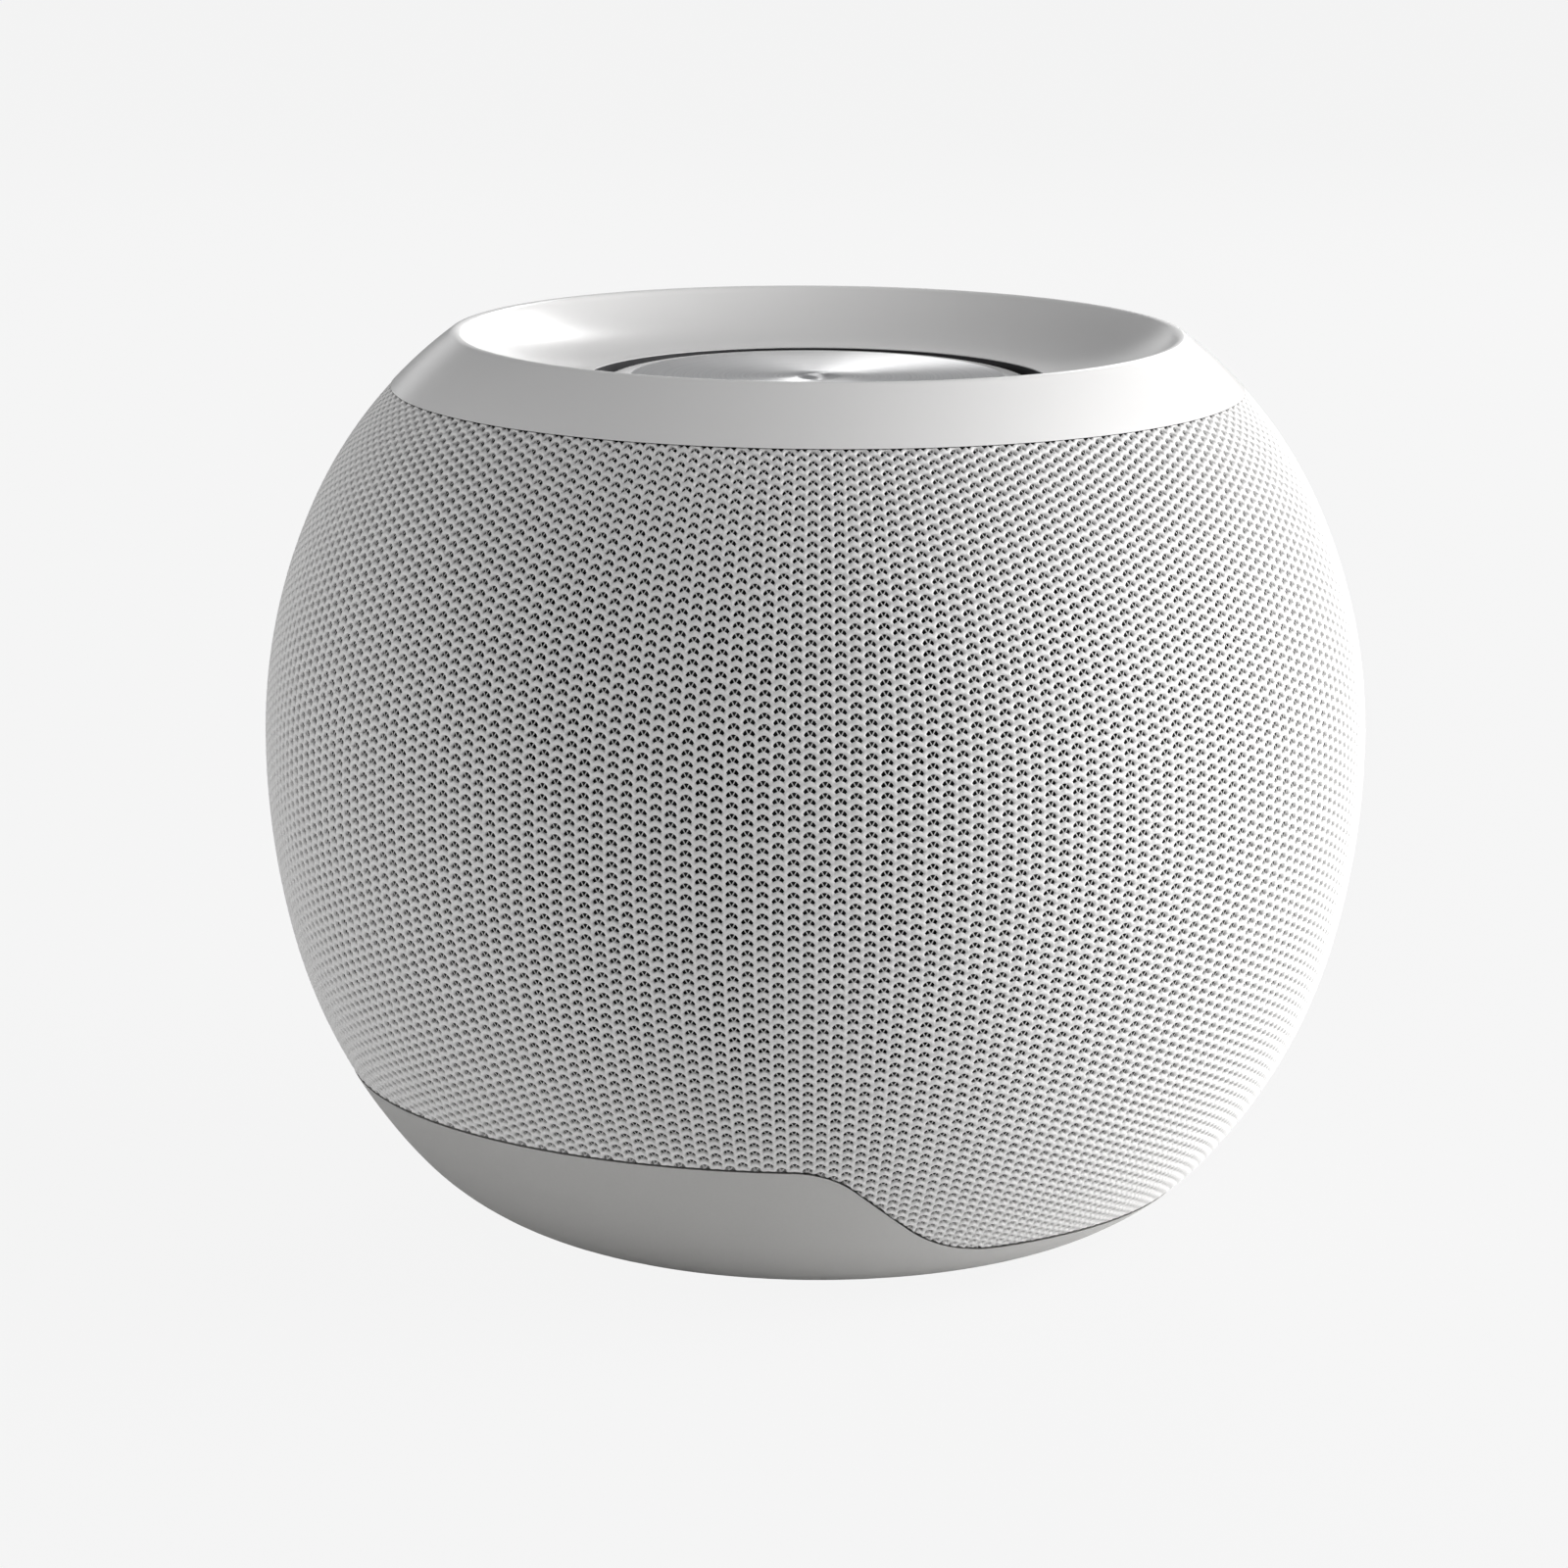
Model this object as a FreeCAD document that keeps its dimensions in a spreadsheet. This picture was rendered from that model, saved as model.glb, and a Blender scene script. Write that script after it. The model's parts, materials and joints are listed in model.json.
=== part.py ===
import FreeCAD, Part
import math
import os
import re

import Sketcher

# A table-top smart speaker: a fabric-covered pebble with a plastic base, a white bezel and a
# turn-and-press metal knob. Millimetres. The origin is on the floor, under the centre.
# +Z is up. The fabric dips low at the front (-Y); the sockets and buttons are at the back (+Y).

doc = FreeCAD.newDocument("SmartSpeaker")
sheet = doc.addObject("Spreadsheet::Sheet", "Sizes")

# The driving sizes. Every one can be changed by itself.
sizes = {
    # the outline: a chain of tangent arcs, up and down from the widest height
    "body_radius": 70.0,
    "ridge_height": 51.2,
    "underside_depth": 63.8,
    "upper_side_arc": 71.1,
    "upper_side_angle": 24.5,
    "ridge_angle": 54.0,
    "lower_side_arc": 99.4,
    "lower_side_angle": 14.9,
    "heel_arc": 34.1,
    "heel_start_angle": 42.2,
    "heel_end_angle": 83.4,
    # the wave between the fabric and the base
    "apron_back_height": 21.0,
    "apron_front_height": 7.1,
    "wave_angle": 40.0,
    "wave_top_arc": 12.0,
    "wave_foot_arc": 20.0,
    "wave_centre_y": 1.0,
    # skins
    "base_wall": 2.4,
    "base_floor": 2.5,
    "sleeve_inset": 0.2,
    "sleeve_thick": 1.0,
    "sleeve_gap": 0.2,
    "basket_gap": 0.3,
    "basket_wall": 2.0,
    "slot_width": 9.0,
    "slot_height": 11.0,
    "slot_pitch": 15.0,
    "slot_rows": 4,
    "slot_columns": 20,
    # foot, screws, ballast and main board
    "foot_height": 1.0,
    "foot_recess": 0.8,
    "foot_width": 8.0,
    "foot_margin": 2.5,
    "boss_radius": 3.0,
    "boss_step": 0.8,
    "boss_top_gap": 4.0,
    "screw_head_radius": 2.1,
    "screw_head_height": 1.5,
    "screw_radius": 1.2,
    "screw_length": 17.6,
    "screw_clearance": 0.15,
    "ballast_height": 3.0,
    "ballast_bore": 6.0,
    "ballast_gap": 1.0,
    "board_height": 8.0,
    "board_thick": 1.6,
    "board_gap": 2.9,
    # ports at the back
    "port_height": 14.0,
    "socket_width": 9.0,
    "socket_height": 3.2,
    "socket_depth": 9.4,
    "socket_shell": 0.3,
    "socket_setback": 1.2,
    "socket_gap": 0.2,
    "socket_bearing": 15.0,
    "power_bearing": 32.0,
    "mute_bearing": 48.0,
    "button_radius": 2.5,
    "button_gap": 0.2,
    "button_length": 12.0,
    "button_reach": 8.4,
    "button_proud": 0.3,
    "button_flange_radius": 3.4,
    "button_flange_thick": 1.2,
    "button_travel": 0.6,
    "switch_size": 4.0,
    "switch_depth": 5.0,
    # driver, deflector and enclosure
    "deflector_height": 20.0,
    "deflector_plate": 2.5,
    "deflector_cone_height": 10.5,
    "deflector_cone_radius": 30.0,
    "deflector_gap": 3.8,
    "post_radius": 2.5,
    "post_margin": 4.0,
    "baffle_height": 38.0,
    "baffle_thick": 3.0,
    "driver_radius": 34.0,
    "driver_flange": 2.0,
    "driver_flange_width": 5.0,
    "driver_depth": 17.0,
    "driver_frame_wall": 1.2,
    "driver_hole_gap": 1.0,
    "roll_width": 4.5,
    "roll_thick": 0.5,
    "roll_lip": 1.4,
    "cone_wall": 0.6,
    "cone_depth": 10.0,
    "coil_radius": 10.3,
    "coil_wall": 0.5,
    "former_wall": 0.3,
    "former_length": 12.0,
    "coil_length": 6.0,
    "coil_air": 0.6,
    "top_plate_radius": 22.0,
    "top_plate_thick": 3.0,
    "magnet_radius": 24.0,
    "magnet_bore": 13.0,
    "magnet_thick": 10.0,
    "yoke_thick": 3.0,
    "spider_thick": 0.6,
    "spider_lift": 1.4,
    "spider_gap": 1.0,
    "enclosure_gap": 3.8,
    "enclosure_wall": 2.5,
    "radiator_radius": 21.0,
    "radiator_rim": 3.5,
    "radiator_frame_thick": 1.6,
    "radiator_boss_proud": 2.0,
    "radiator_plate_radius": 11.5,
    "radiator_plate_thick": 2.0,
    # top
    "lid_drop": 20.0,
    "chassis_gap": 1.0,
    "chassis_thick": 2.0,
    "chassis_rim_gap": 0.4,
    "control_post": 2.0,
    "control_board_thick": 1.6,
    "control_board_margin": 4.5,
    "bezel_height": 7.1,
    "bezel_skirt_inset": 3.9,
    "bezel_wall": 1.6,
    "ridge_round": 1.0,
    "dish_depth": 6.3,
    "dish_collar": 3.0,
    "knob_gap": 0.7,
    "knob_radius": 28.7,
    "knob_flat_radius": 23.7,
    "knob_proud": 0.3,
    "knob_height": 3.0,
    "knob_wall": 1.2,
    "knob_shoulder_arc": 9.0,
    "knob_dimple_radius": 3.2,
    "knob_dimple_depth": 0.5,
    "knob_lip": 1.5,
    "carrier_gap": 0.3,
    "carrier_thick": 1.9,
    "shaft_radius": 3.0,
    "shaft_clearance": 0.05,
    "plunger_radius": 4.0,
    "plunger_clearance": 0.2,
    "plunger_height": 2.6,
    "press_travel": 0.6,
    "encoder_width": 12.4,
    "encoder_height": 2.6,
    "light_ring_width": 5.0,
    "light_ring_thick": 1.7,
    "light_ring_height": 3.0,
    "led_size": 3.2,
    "led_height": 1.0,
    "ribbon_width": 10.0,
    "ribbon_thick": 0.4,
    "ribbon_top_gap": 0.6,
    "ribbon_bend_rise": 6.0,
    "ribbon_bend_drop": 2.4,
    "ribbon_edge": 3.0,
    "ribbon_slot_depth": 20.0,
    "sink_width": 14.0,
    "sink_foot_thick": 1.5,
    "sink_fin_thick": 0.8,
    "sink_fin_height": 4.0,
    "sink_fin_pitch": 2.5,
    "sink_y": 12.0,
    "can_length": 18.0,
    "can_width": 13.0,
    "can_height": 2.4,
    "can_y": -8.0,
    "antenna_length": 24.0,
    "antenna_thick": 0.8,
    "antenna_height": 7.0,
    "antenna_inset": 10.0,
    "chassis_hole_radius": 12.0,
    "chassis_rib_radius": 38.0,
    "chassis_rib_thick": 2.0,
    "control_post_radius": 2.0,
    "control_post_inset": 3.0,
    "microphone_width": 3.0,
    "microphone_length": 4.0,
    "microphone_height": 1.1,
    "microphone_inset": 2.2,
}

# Values worked out from the sizes, as formulas.
worked = {
    # the outline's arc centres and radii; heights count from the widest height
    "upper_x": "body_radius - upper_side_arc",
    "crown_arc": "(ridge_height - upper_side_arc * sin(upper_side_angle))"
                 " / (sin(ridge_angle) - sin(upper_side_angle))",
    "crown_x": "upper_x + (upper_side_arc - crown_arc) * cos(upper_side_angle)",
    "crown_z": "equator_z + (upper_side_arc - crown_arc) * sin(upper_side_angle)",
    "lower_x": "body_radius - lower_side_arc",
    "belly_arc": "(underside_depth - lower_side_arc * sin(lower_side_angle)"
                 " + heel_arc * (sin(heel_start_angle) - sin(heel_end_angle)))"
                 " / (sin(heel_start_angle) - sin(lower_side_angle))",
    "belly_x": "lower_x + (lower_side_arc - belly_arc) * cos(lower_side_angle)",
    "belly_z": "equator_z - (lower_side_arc - belly_arc) * sin(lower_side_angle)",
    "heel_x": "belly_x + (belly_arc - heel_arc) * cos(heel_start_angle)",
    "heel_z": "belly_z - (belly_arc - heel_arc) * sin(heel_start_angle)",
    "flat_radius": "heel_x + heel_arc * cos(heel_end_angle)",
    # heights of the outside
    "underside_z": "foot_height",
    "equator_z": "foot_height + underside_depth",
    "ridge_z": "equator_z + ridge_height",
    "ridge_radius": "crown_x + crown_arc * cos(ridge_angle)",
    "seam_z": "ridge_z - bezel_height",
    "dish_z": "ridge_z - dish_depth",
    "dish_radius": "knob_radius + knob_gap",
    "wave_back_z": "underside_z + apron_back_height",
    "wave_front_z": "underside_z + apron_front_height",
    "wave_half_run": "(wave_back_z - wave_front_z - (wave_top_arc + wave_foot_arc)"
                     " * (1 - cos(wave_angle))) / tan(wave_angle) / 2",
    "basket_inset": "sleeve_inset + sleeve_thick + basket_gap",
    "basket_inner": "basket_inset + basket_wall",
    # base and main board
    "floor_z": "underside_z + base_floor",
    "foot_outer": "flat_radius - foot_margin",
    "foot_inner": "foot_outer - foot_width",
    "boss_circle": "foot_outer - foot_width / 2",
    "boss_top_z": "deflector_height - boss_top_gap",
    "board_z": "underside_z + board_height",
    "board_top_z": "board_z + board_thick",
    # driver
    "frame_radius": "driver_radius - driver_flange_width",
    "flange_z": "baffle_height - driver_flange",
    "frame_top_z": "baffle_height + driver_depth",
    "cone_radius": "frame_radius - roll_width - roll_thick",
    "cone_top_z": "baffle_height + cone_depth",
    "magnet_z": "frame_top_z + top_plate_thick",
    "yoke_z": "magnet_z + magnet_thick",
    "pole_radius": "coil_radius - former_wall - coil_air",
    "plate_bore": "coil_radius + coil_wall + coil_air",
    # enclosure and top stack
    "lid_top_z": "ridge_z - lid_drop",
    "enclosure_z": "baffle_height + baffle_thick",
    "radiator_z": "(enclosure_z + lid_top_z) / 2",
    "radiator_face": "enclosure_radius + radiator_boss_proud",
    "chassis_z": "lid_top_z + chassis_gap",
    "chassis_top_z": "chassis_z + chassis_thick",
    "control_z": "chassis_top_z + control_post",
    "control_top_z": "control_z + control_board_thick",
    "skirt_z": "dish_z - 2 * dish_collar + knob_proud",
    "light_ring_outer": "dish_radius + light_ring_width - bezel_wall",
    "control_radius": "light_ring_outer + control_board_margin",
    "knob_top_z": "dish_z + knob_proud",
    "knob_bottom_z": "knob_top_z - knob_height",
    "carrier_z": "knob_top_z - knob_wall - carrier_thick",
    "plunger_z": "control_top_z + 1.3 * press_travel",
}

parts = []


def formula(text):
    """The text with each worked-out name written out and each size looked up in the sheet."""
    def write_out(match):
        word = match.group(0)
        if word in worked:
            return "(" + formula(worked[word]) + ")"
        if word in sizes:
            return "Sizes." + word
        return word
    return re.sub(r"[a-z_][a-z_0-9]*", write_out, text)


def value(text):
    """The number that a formula gives with the sizes as they are."""
    return float(sheet.evalExpression(formula(text)))


def fill_sheet():
    for row, (name, number) in enumerate(sizes.items(), start=1):
        sheet.set("A%d" % row, name)
        sheet.set("B%d" % row, str(number))
        sheet.setAlias("B%d" % row, name)
    doc.recompute()


def radius_at(arc, height, inset="0"):
    """The body's radius at a height on one of its arcs, a distance inside its surface."""
    rise = "(%s) - %s_z" % (height, arc)
    return "%s_x + sqrt(pow(%s_arc - (%s); 2) - pow(%s; 2))" % (arc, arc, inset, rise)


def belly_corner(inset="0"):
    """Where the belly arc meets the heel arc, a distance inside the surface."""
    reach = "(belly_arc - (%s))" % inset
    return ("belly_x + %s * cos(heel_start_angle)" % reach,
            "belly_z - %s * sin(heel_start_angle)" % reach)


def side_corner(arc, angle, sign, inset="0"):
    """Where a side arc ends, above (+) or below (-) the widest height."""
    reach = "(%s_side_arc - (%s))" % (arc, inset)
    return ("%s_x + %s * cos(%s)" % (arc, reach, angle),
            "equator_z %s %s * sin(%s)" % (sign, reach, angle))


def finished(thing, label):
    """Names a finished sub-part and puts it on the list of what is written."""
    thing.Label = label
    parts.append(thing)
    return thing


def origin_plane(body, role):
    return [plane for plane in body.Origin.OriginFeatures if plane.Role == role][0]


def arc_centre(start, end, radius):
    """The centre of the arc from start to end, left of the way for a positive radius."""
    along = end - start
    half = along.Length / 2
    left = FreeCAD.Vector(-along.y, along.x, 0).normalize()
    offset = math.copysign(math.sqrt(max(radius * radius - half * half, 0)), radius)
    return start + along / 2 + left * offset


def pin(sketch, name, kind, geometry, end, text):
    """Ties one coordinate of a point to a formula."""
    if text == "0":
        axis = -2 if kind == "DistanceX" else -1
        sketch.addConstraint(Sketcher.Constraint("PointOnObject", geometry, end, axis))
        return
    number = value(text)
    index = sketch.addConstraint(Sketcher.Constraint(kind, -1, 1, geometry, end, number))
    sketch.renameConstraint(index, name)
    sketch.setExpression("Constraints." + name, formula(text))


def draw(sketch, corners):
    """A closed outline. A corner is (x, y), and (x, y, radius) where an arc leaves it."""
    count = len(corners)
    points = [FreeCAD.Vector(value(c[0]), value(c[1]), 0) for c in corners]
    first_ends = []
    last_ends = []
    for number, corner in enumerate(corners):
        start = points[number]
        end = points[(number + 1) % count]
        if len(corner) == 2:
            edge = sketch.addGeometry(Part.LineSegment(start, end))
            first_ends.append((edge, 1))
            last_ends.append((edge, 2))
            continue
        radius = value(corner[2])
        centre = arc_centre(start, end, radius)
        circle = Part.Circle(centre, FreeCAD.Vector(0, 0, 1), abs(radius))
        turns = [math.atan2(p.y - centre.y, p.x - centre.x) for p in (start, end)]
        if radius < 0:
            turns.reverse()
        edge = sketch.addGeometry(Part.ArcOfCircle(circle, turns[0], turns[1]))
        first_ends.append((edge, 1 if radius > 0 else 2))
        last_ends.append((edge, 2 if radius > 0 else 1))
        index = sketch.addConstraint(Sketcher.Constraint("Radius", edge, abs(radius)))
        sketch.renameConstraint(index, "radius%d" % number)
        sketch.setExpression("Constraints.radius%d" % number, formula("abs(%s)" % corner[2]))
    for number, corner in enumerate(corners):
        edge, end = first_ends[number]
        sketch.addConstraint(Sketcher.Constraint("Coincident", *last_ends[number - 1], edge, end))
        pin(sketch, "across%d" % number, "DistanceX", edge, end, corner[0])
        pin(sketch, "up%d" % number, "DistanceY", edge, end, corner[1])


def body_with_sketch(name, plane, corners):
    """A body with one sketch on one of its own origin planes."""
    body = doc.addObject("PartDesign::Body", name)
    sketch = body.newObject("Sketcher::SketchObject", name + "_outline")
    sketch.AttachmentSupport = (origin_plane(body, plane), "")
    sketch.MapMode = "FlatFace"
    draw(sketch, corners)
    return body, sketch


def turned(name, corners, axis="V_Axis"):
    """A body turned about Z, or about X, from an outline in the XZ plane."""
    body, sketch = body_with_sketch(name, "XZ_Plane", corners)
    turn = body.newObject("PartDesign::Revolution", name + "_turn")
    turn.Profile = sketch
    turn.ReferenceAxis = (sketch, [axis])
    turn.Angle = 360
    body.Tip = turn
    return body


def ring(name, inner, outer, bottom, top):
    """A plain turned ring or, with an inner radius of 0, a disc."""
    return turned(name, [(inner, bottom), (outer, bottom), (outer, top), (inner, top)])


def slab(name, corners, plane, length):
    """An outline made thick by a length, half to each side of its plane."""
    body, sketch = body_with_sketch(name, plane, corners)
    pad = body.newObject("PartDesign::Pad", name + "_pad")
    pad.Profile = sketch
    pad.SideType = "Symmetric"
    pad.Length = value(length)
    pad.setExpression("Length", formula(length))
    body.Tip = pad
    return body


def about(x, y, z, degrees):
    """A rotation about an axis."""
    return FreeCAD.Rotation(FreeCAD.Vector(x, y, z), degrees)


def place(thing, x="0", y="0", z="0", turn=None):
    """Ties a thing's place to formulas, with its rotation first."""
    if turn:
        thing.Placement = FreeCAD.Placement(FreeCAD.Vector(), turn)
    for letter, text in (("x", x), ("y", y), ("z", z)):
        if text != "0":
            thing.setExpression("Placement.Base." + letter, formula(text))
    return thing


def block(name, length, width, height, x, y, z):
    """A box. The place is the middle of its length and width, at its bottom."""
    box = doc.addObject("Part::Box", name)
    box.setExpression("Length", formula(length))
    box.setExpression("Width", formula(width))
    box.setExpression("Height", formula(height))
    return place(box, "(%s) - (%s) / 2" % (x, length), "(%s) - (%s) / 2" % (y, width), z)


def rod(name, radius, length, x="0", y="0", z="0", turn=None):
    """A cylinder that stands on its place, or lies along an axis with a turn."""
    cylinder = doc.addObject("Part::Cylinder", name)
    cylinder.setExpression("Radius", formula(radius))
    cylinder.setExpression("Height", formula(length))
    return place(cylinder, x, y, z, turn)


def joined(name, *things):
    fuse = doc.addObject("Part::MultiFuse", name)
    fuse.Shapes = list(things)
    return fuse


def cut(name, thing, *tools):
    """The thing with every tool taken away."""
    result = doc.addObject("Part::Cut", name)
    result.Base = thing
    result.Tool = tools[0] if len(tools) == 1 else joined(name + "_tools", *tools)
    return result


def spokes(count, radius, start=0):
    """Places on a circle, as pairs of formulas."""
    angles = [start + 360 * number / count for number in range(count)]
    return [("(%s) * cos(%g)" % (radius, a), "(%s) * sin(%g)" % (radius, a)) for a in angles]


def shell(name, inset, thick, top, bottom_on_belly):
    """The body's wall between two insets, from a height on the belly up to one on the crown."""
    inner = "%s + %s" % (inset, thick)
    outer_side = "body_radius - (%s)" % inset
    inner_side = "body_radius - (%s)" % inner
    low = side_corner("lower", "lower_side_angle", "-", inset)
    low_in = side_corner("lower", "lower_side_angle", "-", inner)
    high = side_corner("upper", "upper_side_angle", "+", inset)
    high_in = side_corner("upper", "upper_side_angle", "+", inner)
    return turned(name, [
        (radius_at("belly", bottom_on_belly, inset), bottom_on_belly,
         "belly_arc - (%s)" % inset),
        low + ("lower_side_arc - (%s)" % inset,),
        (outer_side, "equator_z", "upper_side_arc - (%s)" % inset),
        high + ("crown_arc - (%s)" % inset,),
        (radius_at("crown", top, inset), top),
        (radius_at("crown", top, inner), top, "-1 * (crown_arc - (%s))" % inner),
        high_in + ("-1 * (upper_side_arc - (%s))" % inner,),
        (inner_side, "equator_z", "-1 * (lower_side_arc - (%s))" % inner),
        low_in + ("-1 * (belly_arc - (%s))" % inner,),
        (radius_at("belly", bottom_on_belly, inner), bottom_on_belly),
    ])


def wave_profile(lift, edge_z):
    """One side of the wave line, closed off by a straight edge at a height."""
    far = "body_radius + 10"
    back_z = "wave_back_z + (%s)" % lift
    front_z = "wave_front_z + (%s)" % lift
    foot_y = "wave_centre_y - wave_half_run"
    head_y = "wave_centre_y + wave_half_run"
    drop = "(1 - cos(wave_angle))"
    return [
        ("-1 * (%s)" % far, front_z),
        (foot_y + " - wave_foot_arc * sin(wave_angle)", front_z, "wave_foot_arc"),
        (foot_y, front_z + " + wave_foot_arc * " + drop),
        (head_y, back_z + " - wave_top_arc * " + drop, "-1 * wave_top_arc"),
        (head_y + " + wave_top_arc * sin(wave_angle)", back_z),
        (far, back_z),
        (far, edge_z),
        ("-1 * (%s)" % far, edge_z),
    ]


def wave_cutter(name, lift, edge_z):
    return slab(name, wave_profile(lift, edge_z), "YZ_Plane", "2 * (body_radius + 10)")


# The outside


def bowl_outline(inset, bottom):
    """The closed outline of the body's lower part, up to the wave's back, without a hollow."""
    return [
        ("0", bottom),
        (radius_at("heel", "underside_z", inset), bottom),
        (radius_at("heel", "underside_z", inset), "underside_z", "heel_arc - (%s)" % inset),
        belly_corner(inset) + ("belly_arc - (%s)" % inset,),
        (radius_at("belly", "wave_back_z", inset), "wave_back_z"),
        ("0", "wave_back_z"),
    ]


def base_shell():
    """The moulded base: a bowl whose rim follows the wave, with screw bosses and ports."""
    wall = "base_wall"
    heel = belly_corner()
    heel_in = belly_corner(wall)
    bowl = turned("base_bowl", [
        ("0", "underside_z"),
        ("flat_radius", "underside_z", "heel_arc"),
        heel + ("belly_arc",),
        (radius_at("belly", "wave_back_z"), "wave_back_z"),
        (radius_at("belly", "wave_back_z", wall), "wave_back_z", "-1 * (belly_arc - base_wall)"),
        heel_in + ("-1 * (heel_arc - base_wall)",),
        (radius_at("heel", "floor_z", wall), "floor_z"),
        ("0", "floor_z"),
    ])
    trimmed = cut("base_trimmed", bowl, wave_cutter("above_wave", "0", "equator_z"))
    solids = [trimmed]
    tools = [ring("foot_groove", "foot_inner", "foot_outer", "underside_z - 1",
                  "underside_z + foot_recess")]
    for number, (x, y) in enumerate(spokes(4, "boss_circle", 45)):
        start = "floor_z - 0.5"
        solids.append(rod("boss_foot_%d" % number, "boss_radius + boss_step",
                          "board_z - (%s)" % start, x, y, start))
        solids.append(rod("boss_%d" % number, "boss_radius",
                          "boss_top_z - (%s)" % start, x, y, start))
        tools.append(rod("boss_bore_%d" % number, "screw_radius + screw_clearance",
                         "boss_top_z", x, y, "0"))
        tools.append(rod("boss_counterbore_%d" % number, "screw_head_radius + screw_clearance",
                         "underside_z + foot_recess + screw_head_height + 0.1", x, y, "0"))
    tools.append(port_block("socket_window", "socket_width + 2 * socket_gap", "20",
                            "socket_height + 2 * socket_gap", "port_wall",
                            "port_height - socket_height / 2 - socket_gap", "socket_bearing"))
    for name in BUTTONS:
        tools.append(port_rod(name + "_hole", "button_radius + button_gap", "button_back", "20",
                              name + "_bearing"))
    finished(cut("base", joined("base_solid", *solids), *tools), "base_shell")


def rubber_foot():
    finished(ring("foot", "foot_inner + 0.1", "foot_outer - 0.1", "0", "underside_z + foot_recess"),
             "rubber_foot")


def base_screws():
    head_z = "underside_z + foot_recess + 0.05"
    for number, (x, y) in enumerate(spokes(4, "boss_circle", 45), start=1):
        head = rod("screw_head_%d" % number, "screw_head_radius", "screw_head_height", x, y, head_z)
        shank = rod("screw_shank_%d" % number, "screw_radius", "screw_length", x, y, head_z)
        finished(joined("screw_%d" % number, head, shank), "base_screw_%d" % number)


def fabric_sleeve():
    skin = shell("sleeve_skin", "sleeve_inset", "sleeve_thick", "seam_z - sleeve_gap",
                 "wave_front_z + 0.1")
    below = wave_cutter("below_sleeve", "sleeve_gap", "-20")
    finished(cut("sleeve", skin, below), "fabric_sleeve")


def grille_basket():
    """The moulded skeleton under the fabric, with rows of sound slots."""
    skin = shell("basket_skin", "basket_inset", "basket_wall", "seam_z - sleeve_thick",
                 "wave_front_z + 0.1")
    below = wave_cutter("below_basket", "sleeve_gap", "-20")
    reach = "body_radius + 5"
    slots = []
    rows = int(value("slot_rows"))
    columns = int(value("slot_columns"))
    for row in range(rows):
        level = "equator_z + slot_pitch * (%g) - slot_height / 2" % (row - (rows - 1) / 2)
        for column in range(columns // 2):
            name = "slot_%d_%d" % (row, column)
            bar = doc.addObject("Part::Box", name)
            bar.setExpression("Length", formula("2 * (%s)" % reach))
            bar.setExpression("Width", formula("slot_width"))
            bar.setExpression("Height", formula("slot_height"))
            turn = 360 * column / columns
            along = "(%s)" % reach
            half = "slot_width / 2"
            place(bar, "%s * sin(%g) - %s * cos(%g)" % (half, turn, along, turn),
                  "0 - %s * cos(%g) - %s * sin(%g)" % (half, turn, along, turn), level,
                  about(0, 0, 1, turn))
            slots.append(bar)
    finished(cut("basket", skin, below, *slots), "grille_basket")


def fabric_ring():
    """The ring that clamps the sleeve's upper hem onto the basket."""
    bottom = "seam_z - sleeve_thick + 0.1"
    inner = radius_at("crown", "seam_z", "bezel_skirt_inset") + " + 0.1"
    outer = radius_at("crown", "seam_z", "basket_inset")
    finished(ring("hem_ring", inner, outer, bottom, "seam_z - 0.1"), "fabric_ring")


def bezel():
    """The glossy top ring: outer crown, rounded ridge, concave dish, collar and snap skirt."""
    turn = "(ridge_round / crown_arc * 180 / 3.14159)"
    edge = ("crown_x + crown_arc * cos(ridge_angle - %s)" % turn,
            "crown_z + crown_arc * sin(ridge_angle - %s)" % turn, "ridge_round * 1.2")
    dish_edge = ("ridge_radius - ridge_round", "ridge_z - 0.75 * ridge_round")
    run = "(ridge_radius - ridge_round - dish_radius)"
    rise = "(dish_depth - 0.75 * ridge_round)"
    dish_arc = "-1 * ((%s * %s + %s * %s) / (2 * %s))" % (run, run, rise, rise, rise)
    skirt_outer = radius_at("crown", "seam_z", "bezel_skirt_inset")
    skirt_inner = skirt_outer + " - bezel_wall"
    ring_body = turned("bezel_ring", [
        (radius_at("crown", "seam_z"), "seam_z", "crown_arc"),
        edge,
        dish_edge + (dish_arc,),
        ("dish_radius", "dish_z"),
        ("dish_radius", "dish_z - dish_collar"),
        ("dish_radius + bezel_wall", "dish_z - dish_collar"),
        ("dish_radius + bezel_wall", "dish_z - 1.5 * bezel_wall"),
        ("ridge_radius - 0.7 * bezel_wall", "ridge_z - 2.6 * bezel_wall"),
        (skirt_inner, "seam_z + bezel_wall"),
        (skirt_inner, "skirt_z"),
        (skirt_outer, "skirt_z"),
        (skirt_outer, "seam_z"),
    ])
    finished(ring_body, "bezel")


# Inside the base


def ballast_ring():
    outer = "boss_circle - boss_radius - boss_step - ballast_gap"
    finished(ring("ballast", "ballast_bore", outer, "floor_z", "floor_z + ballast_height"),
             "ballast_ring")


def main_board():
    board = rod("board_disc", "board_radius", "board_thick", "0", "0", "board_z")
    holes = [rod("board_hole_%d" % number, "boss_radius + 0.2", "board_thick + 2", x, y,
                 "board_z - 1") for number, (x, y) in enumerate(spokes(4, "boss_circle", 45))]
    finished(cut("board", board, *holes), "main_board")


def heat_sink():
    foot = block("sink_foot", "sink_width", "sink_width", "sink_foot_thick", "0", "sink_y",
                 "board_top_z")
    fins = [block("sink_fin_%d" % number, "sink_fin_thick", "sink_width",
                  "sink_fin_height + sink_foot_thick / 2", "%g * sink_fin_pitch" % (number - 2.5),
                  "sink_y", "board_top_z + sink_foot_thick / 2") for number in range(6)]
    finished(joined("sink", foot, *fins), "heat_sink")


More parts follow.
